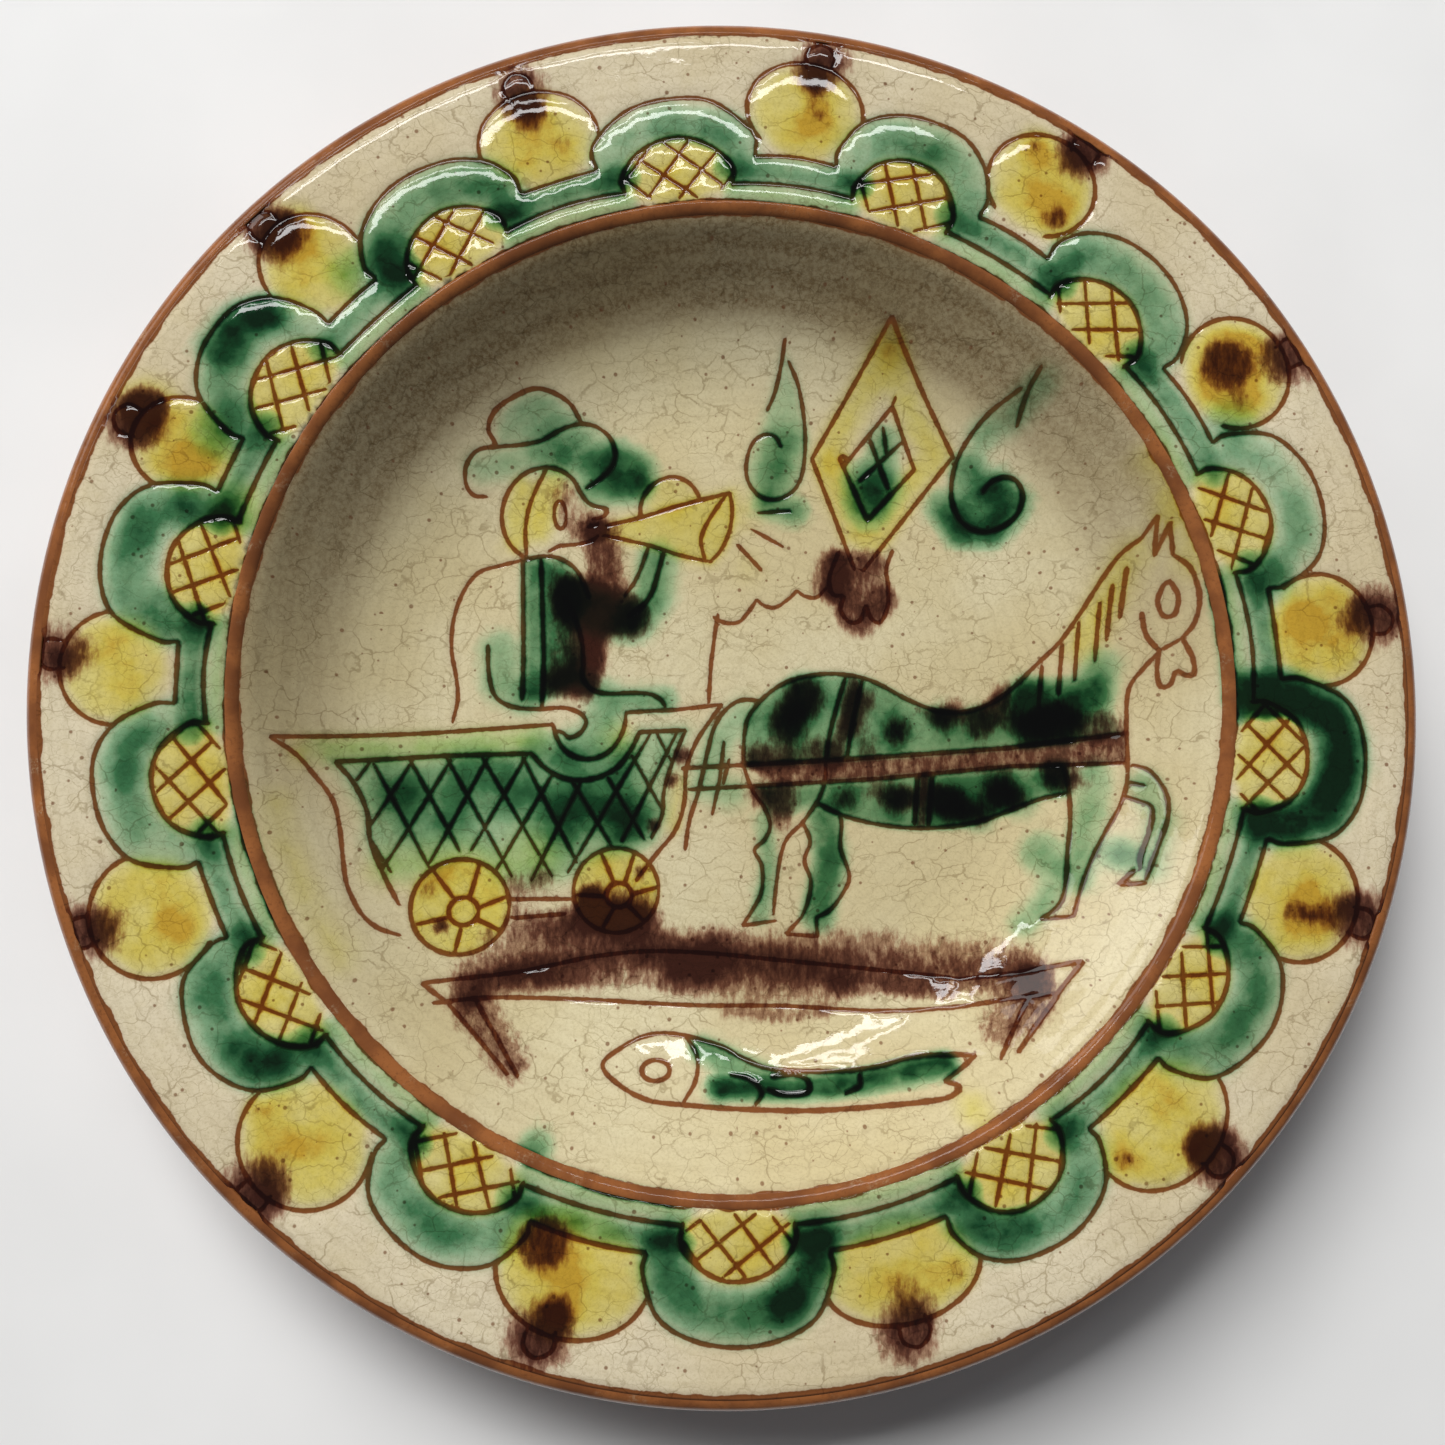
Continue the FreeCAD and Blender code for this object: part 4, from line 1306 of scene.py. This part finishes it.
def slip_cut(s):
    """Millimetres from the nearest edge of the slip, negative on bare clay, a little frayed."""
    fray = s.times(s.math("SUBTRACT", s.noise(0.9, 3), 0.5), 0.28)
    in_well = s.math("SUBTRACT", WELL_EDGE_R, s.radius)
    from_ring = s.math("SUBTRACT", s.radius, RING_EDGE_R)
    on_rim = s.math("MINIMUM", from_ring, s.math("SUBTRACT", LIP_EDGE_R, s.radius))
    wiped = s.math("ADD", s.math("MAXIMUM", in_well, on_rim), s.ease(s.noise(6, 4), 0.3, 0.7, -0.45, 0.2))
    return s.math("ADD", s.math("MINIMUM", s.field("line"), wiped), fray)


def stain_amount(s, name, edge, cloudy):
    """How strong a stain looks: brown in short hairs, the others in clouds and pooled along the lines."""
    if name == "brown":
        hairs = s.noise(1.2, 3, stretch=(0.9, 0.34, 1.0), rough=0.65)
        shifted = s.math("ADD", s.field(name), s.times(s.math("SUBTRACT", hairs, 0.5), 0.85))
        return s.times(s.ease(shifted, 0.10, 0.92), s.ease(s.field(name), 0.02, 0.20))
    patch = s.times(s.ease(cloudy, 0.28, 0.72, 0.70, 1.22), s.ease(edge, -0.05, 0.5, 1.75, 1.0))
    return s.math("MULTIPLY", s.field(name), patch, clamp=True)


def painted_slip():
    """White slip cut through to the clay, stained, under a glossy crazed lead glaze."""
    s = Shader("painted_slip")
    edge = slip_cut(s)
    clay = s.blend(s.ease(s.noise(3.0, 4), 0.35, 0.7), CLAY_LINE, CLAY_DARK)
    tone = s.blend(s.ease(edge, -0.10, 0.16), clay, white_slip(s))
    tone = s.blend(s.ease(edge, 0.0, 1.1, 0.16, 0.0), tone, CLAY_LINE)
    cloudy = s.noise(7.5, 4, rough=0.55)
    for name, stops in STAINS.items():
        tone = s.blend(1.0, tone, s.ramp(stain_amount(s, name, edge, cloudy), stops), "MULTIPLY")
    wide_net = s.times(crackle(s, 6.2, 8, (0.8, 1.25, 1.0)), 0.55)
    fine_net = s.times(crackle(s, 3.0, 12, (0.9, 1.3, 1.0)), 0.45)
    tone = s.blend(s.math("MAXIMUM", wide_net, fine_net), tone, CRAZING, "MULTIPLY")
    skin = s.bump(s.noise(2.0, 3), 0.014, Normal=s.bump(s.noise(13, 2), 0.15))
    return s.finish(
        base_color=tone,
        roughness=s.ease(cloudy, 0.3, 0.7, 0.36, 0.50),
        normal=skin,
        coat_normal=skin,
        coat_weight=1.0,
        coat_roughness=0.035,
        coat_ior=1.52,
        specular_ior_level=0.0,
    )


def glazed_clay():
    """Red clay wiped bare, seen through glaze."""
    s = Shader("glazed_clay")
    tone = s.blend(s.ease(s.noise(9, 5), 0.34, 0.68), CLAY_GLAZED, CLAY_DARK)
    tone = s.blend(s.ease(s.noise(0.9, 4, rough=0.75), 0.48, 0.72, 0.0, 0.75), tone, CLAY_DARK)
    smear = s.times(s.ease(s.noise(6, 5, rough=0.62), 0.56, 0.78), 0.3)
    tone = s.blend(s.times(smear, s.ease(s.noise(0.6, 3, rough=0.7), 0.45, 0.62)), tone, SLIP)
    swell = s.bump(s.noise(6, 3), 0.18)
    return s.finish(
        base_color=tone,
        roughness=s.ease(s.noise(3, 3), 0.3, 0.7, 0.34, 0.5),
        normal=swell,
        coat_normal=swell,
        coat_weight=1.0,
        coat_roughness=0.08,
        coat_ior=1.42,
        specular_ior_level=0.1,
    )


def raw_clay():
    """Fired red earthenware with turning lines, grit and a little kiln stain."""
    s = Shader("raw_clay")
    tone = s.blend(s.ease(s.noise(26, 5), 0.36, 0.66), CLAY_RAW, CLAY_PALE)
    tone = s.blend(s.ease(s.noise(14, 4, warp=0.6), 0.58, 0.8, 0.0, 0.4), tone, CLAY_GLAZED)
    rings = s.wheel_rings(4.6, 20, 2, 3.0)
    tone = s.blend(s.ease(rings, 0.2, 1.0, 0.0, 0.16), tone, CLAY_GLAZED)
    tone = s.blend(s.times(specks(s, 2.2, 0.6), 0.7), tone, SLIP)
    skin = s.bump(s.noise(0.9, 4, rough=0.6), 0.09, Normal=s.bump(rings, 0.05))
    return s.finish(base_color=tone, roughness=s.ease(s.noise(2.0, 3), 0.3, 0.7, 0.72, 0.9), normal=skin)


def pale_floor():
    """Plain pale table top."""
    s = Shader("pale_floor")
    tone = s.blend(s.ease(s.noise(60, 3), 0.3, 0.7), FLOOR_PALE, FLOOR_GREY)
    return s.finish(base_color=tone, roughness=0.85)


# ---------------------------------------------------------------- stage, light and camera
FLOOR_HALF = 3.0  # metres


def point_at(obj, place, target, up):
    """Puts an object at a place, facing a target, both in millimetres."""
    place, target = Vector(place) * MM, Vector(target) * MM
    ahead = (target - place).normalized()
    side = ahead.cross(Vector(up)).normalized()
    turn = Matrix((side, side.cross(ahead), -ahead)).transposed().to_4x4()
    obj.matrix_world = Matrix.Translation(place) @ turn


def floor():
    mesh = bpy.data.meshes.new("floor")
    corners = [(-1, -1, 0), (1, -1, 0), (1, 1, 0), (-1, 1, 0)]
    mesh.from_pydata([Vector(corner) * FLOOR_HALF for corner in corners], [], [(0, 1, 2, 3)])
    mesh.materials.append(pale_floor())
    place_object("floor", mesh)


def softbox(name, azimuth, elevation, distance, wide, high, power, tint=(1, 1, 1), gloss=True):
    """An area light round the plate at an azimuth and elevation in degrees and a distance in metres."""
    data = bpy.data.lights.new(name, "AREA")
    data.shape = "RECTANGLE"
    data.size, data.size_y = wide, high
    data.energy = power
    data.color = tint
    a, e = math.radians(azimuth), math.radians(elevation)
    way = Vector((math.cos(e) * math.cos(a), math.cos(e) * math.sin(a), math.sin(e)))
    obj = place_object(name, data)
    point_at(obj, way * distance / MM, (0, 0, 20), up=(0, 0, 1))
    obj.visible_glossy = gloss


def lights():
    world = bpy.data.worlds.new("studio")
    world.use_nodes = True
    back = world.node_tree.nodes["Background"]
    back.inputs["Color"].default_value = (0.93, 0.96, 1.0, 1)
    back.inputs["Strength"].default_value = 0.105
    bpy.context.scene.world = world
    softbox("window", 116, 44, 4.0, 2.0, 2.0, 212.0, (1.0, 0.985, 0.96), gloss=False)
    softbox("window glow", 138, 34, 4.0, 2.0, 1.4, 20.0, (1.0, 0.99, 0.97))
    softbox("skylight", 98, 60.5, 2.1, 1.2, 0.10, 4.2)
    softbox("lower skylight", 106, 55.5, 2.1, 0.8, 0.05, 1.2)


def camera():
    data = bpy.data.cameras.new("camera")
    data.sensor_width = 36.0
    data.lens = 35.73
    data.clip_start = 0.01
    obj = place_object("camera", data)
    point_at(obj, (-20, -31.5, 319.25), (-3.5, -6.5, 31.25), up=(0, 1, 0))
    bpy.context.scene.camera = obj


# ---------------------------------------------------------------- the plate
def finished(obj, material, slot, *nodes):
    """Gives a piece its material and body and hides the CAD nodes that it shows instead of; the slot is not
    used.
    """
    obj.data.materials.append(material)
    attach(obj, "root")
    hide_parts(*nodes)


def plate():
    rim_art, well_art = Drawing(), Drawing()
    border(rim_art)
    border_spots(rim_art)
    for part in (rider, cart, whip, horse, diamond, commas, bench, fish):
        part(well_art)
    # the border's stains run over the ring into the well
    well_art.stains += [stain for stain in rim_art.stains if np.hypot(*stain[2].T).min() < RING_R]
    slip, clay = painted_slip(), glazed_clay()
    rim = painted_face("painted_rim", rim_art, RING_R, RIM_SLIP_R)
    finished(rim, slip, "white_slip", "rim_slip", "glaze_coat")
    well = painted_face("painted_well", well_art, 0, WELL_SLIP_R)
    finished(well, slip, "white_slip", "well_slip", "glaze_coat")
    finished(glazed_ring(), clay, "clear_glaze", "glaze_coat")
    finished(glazed_lip(), clay, "clear_glaze", "glaze_coat")
    finished(thrown_body(), raw_clay(), "clay", "clay_body")


plate()
floor()
lights()
camera()
bpy.context.scene.view_settings.view_transform = "Standard"
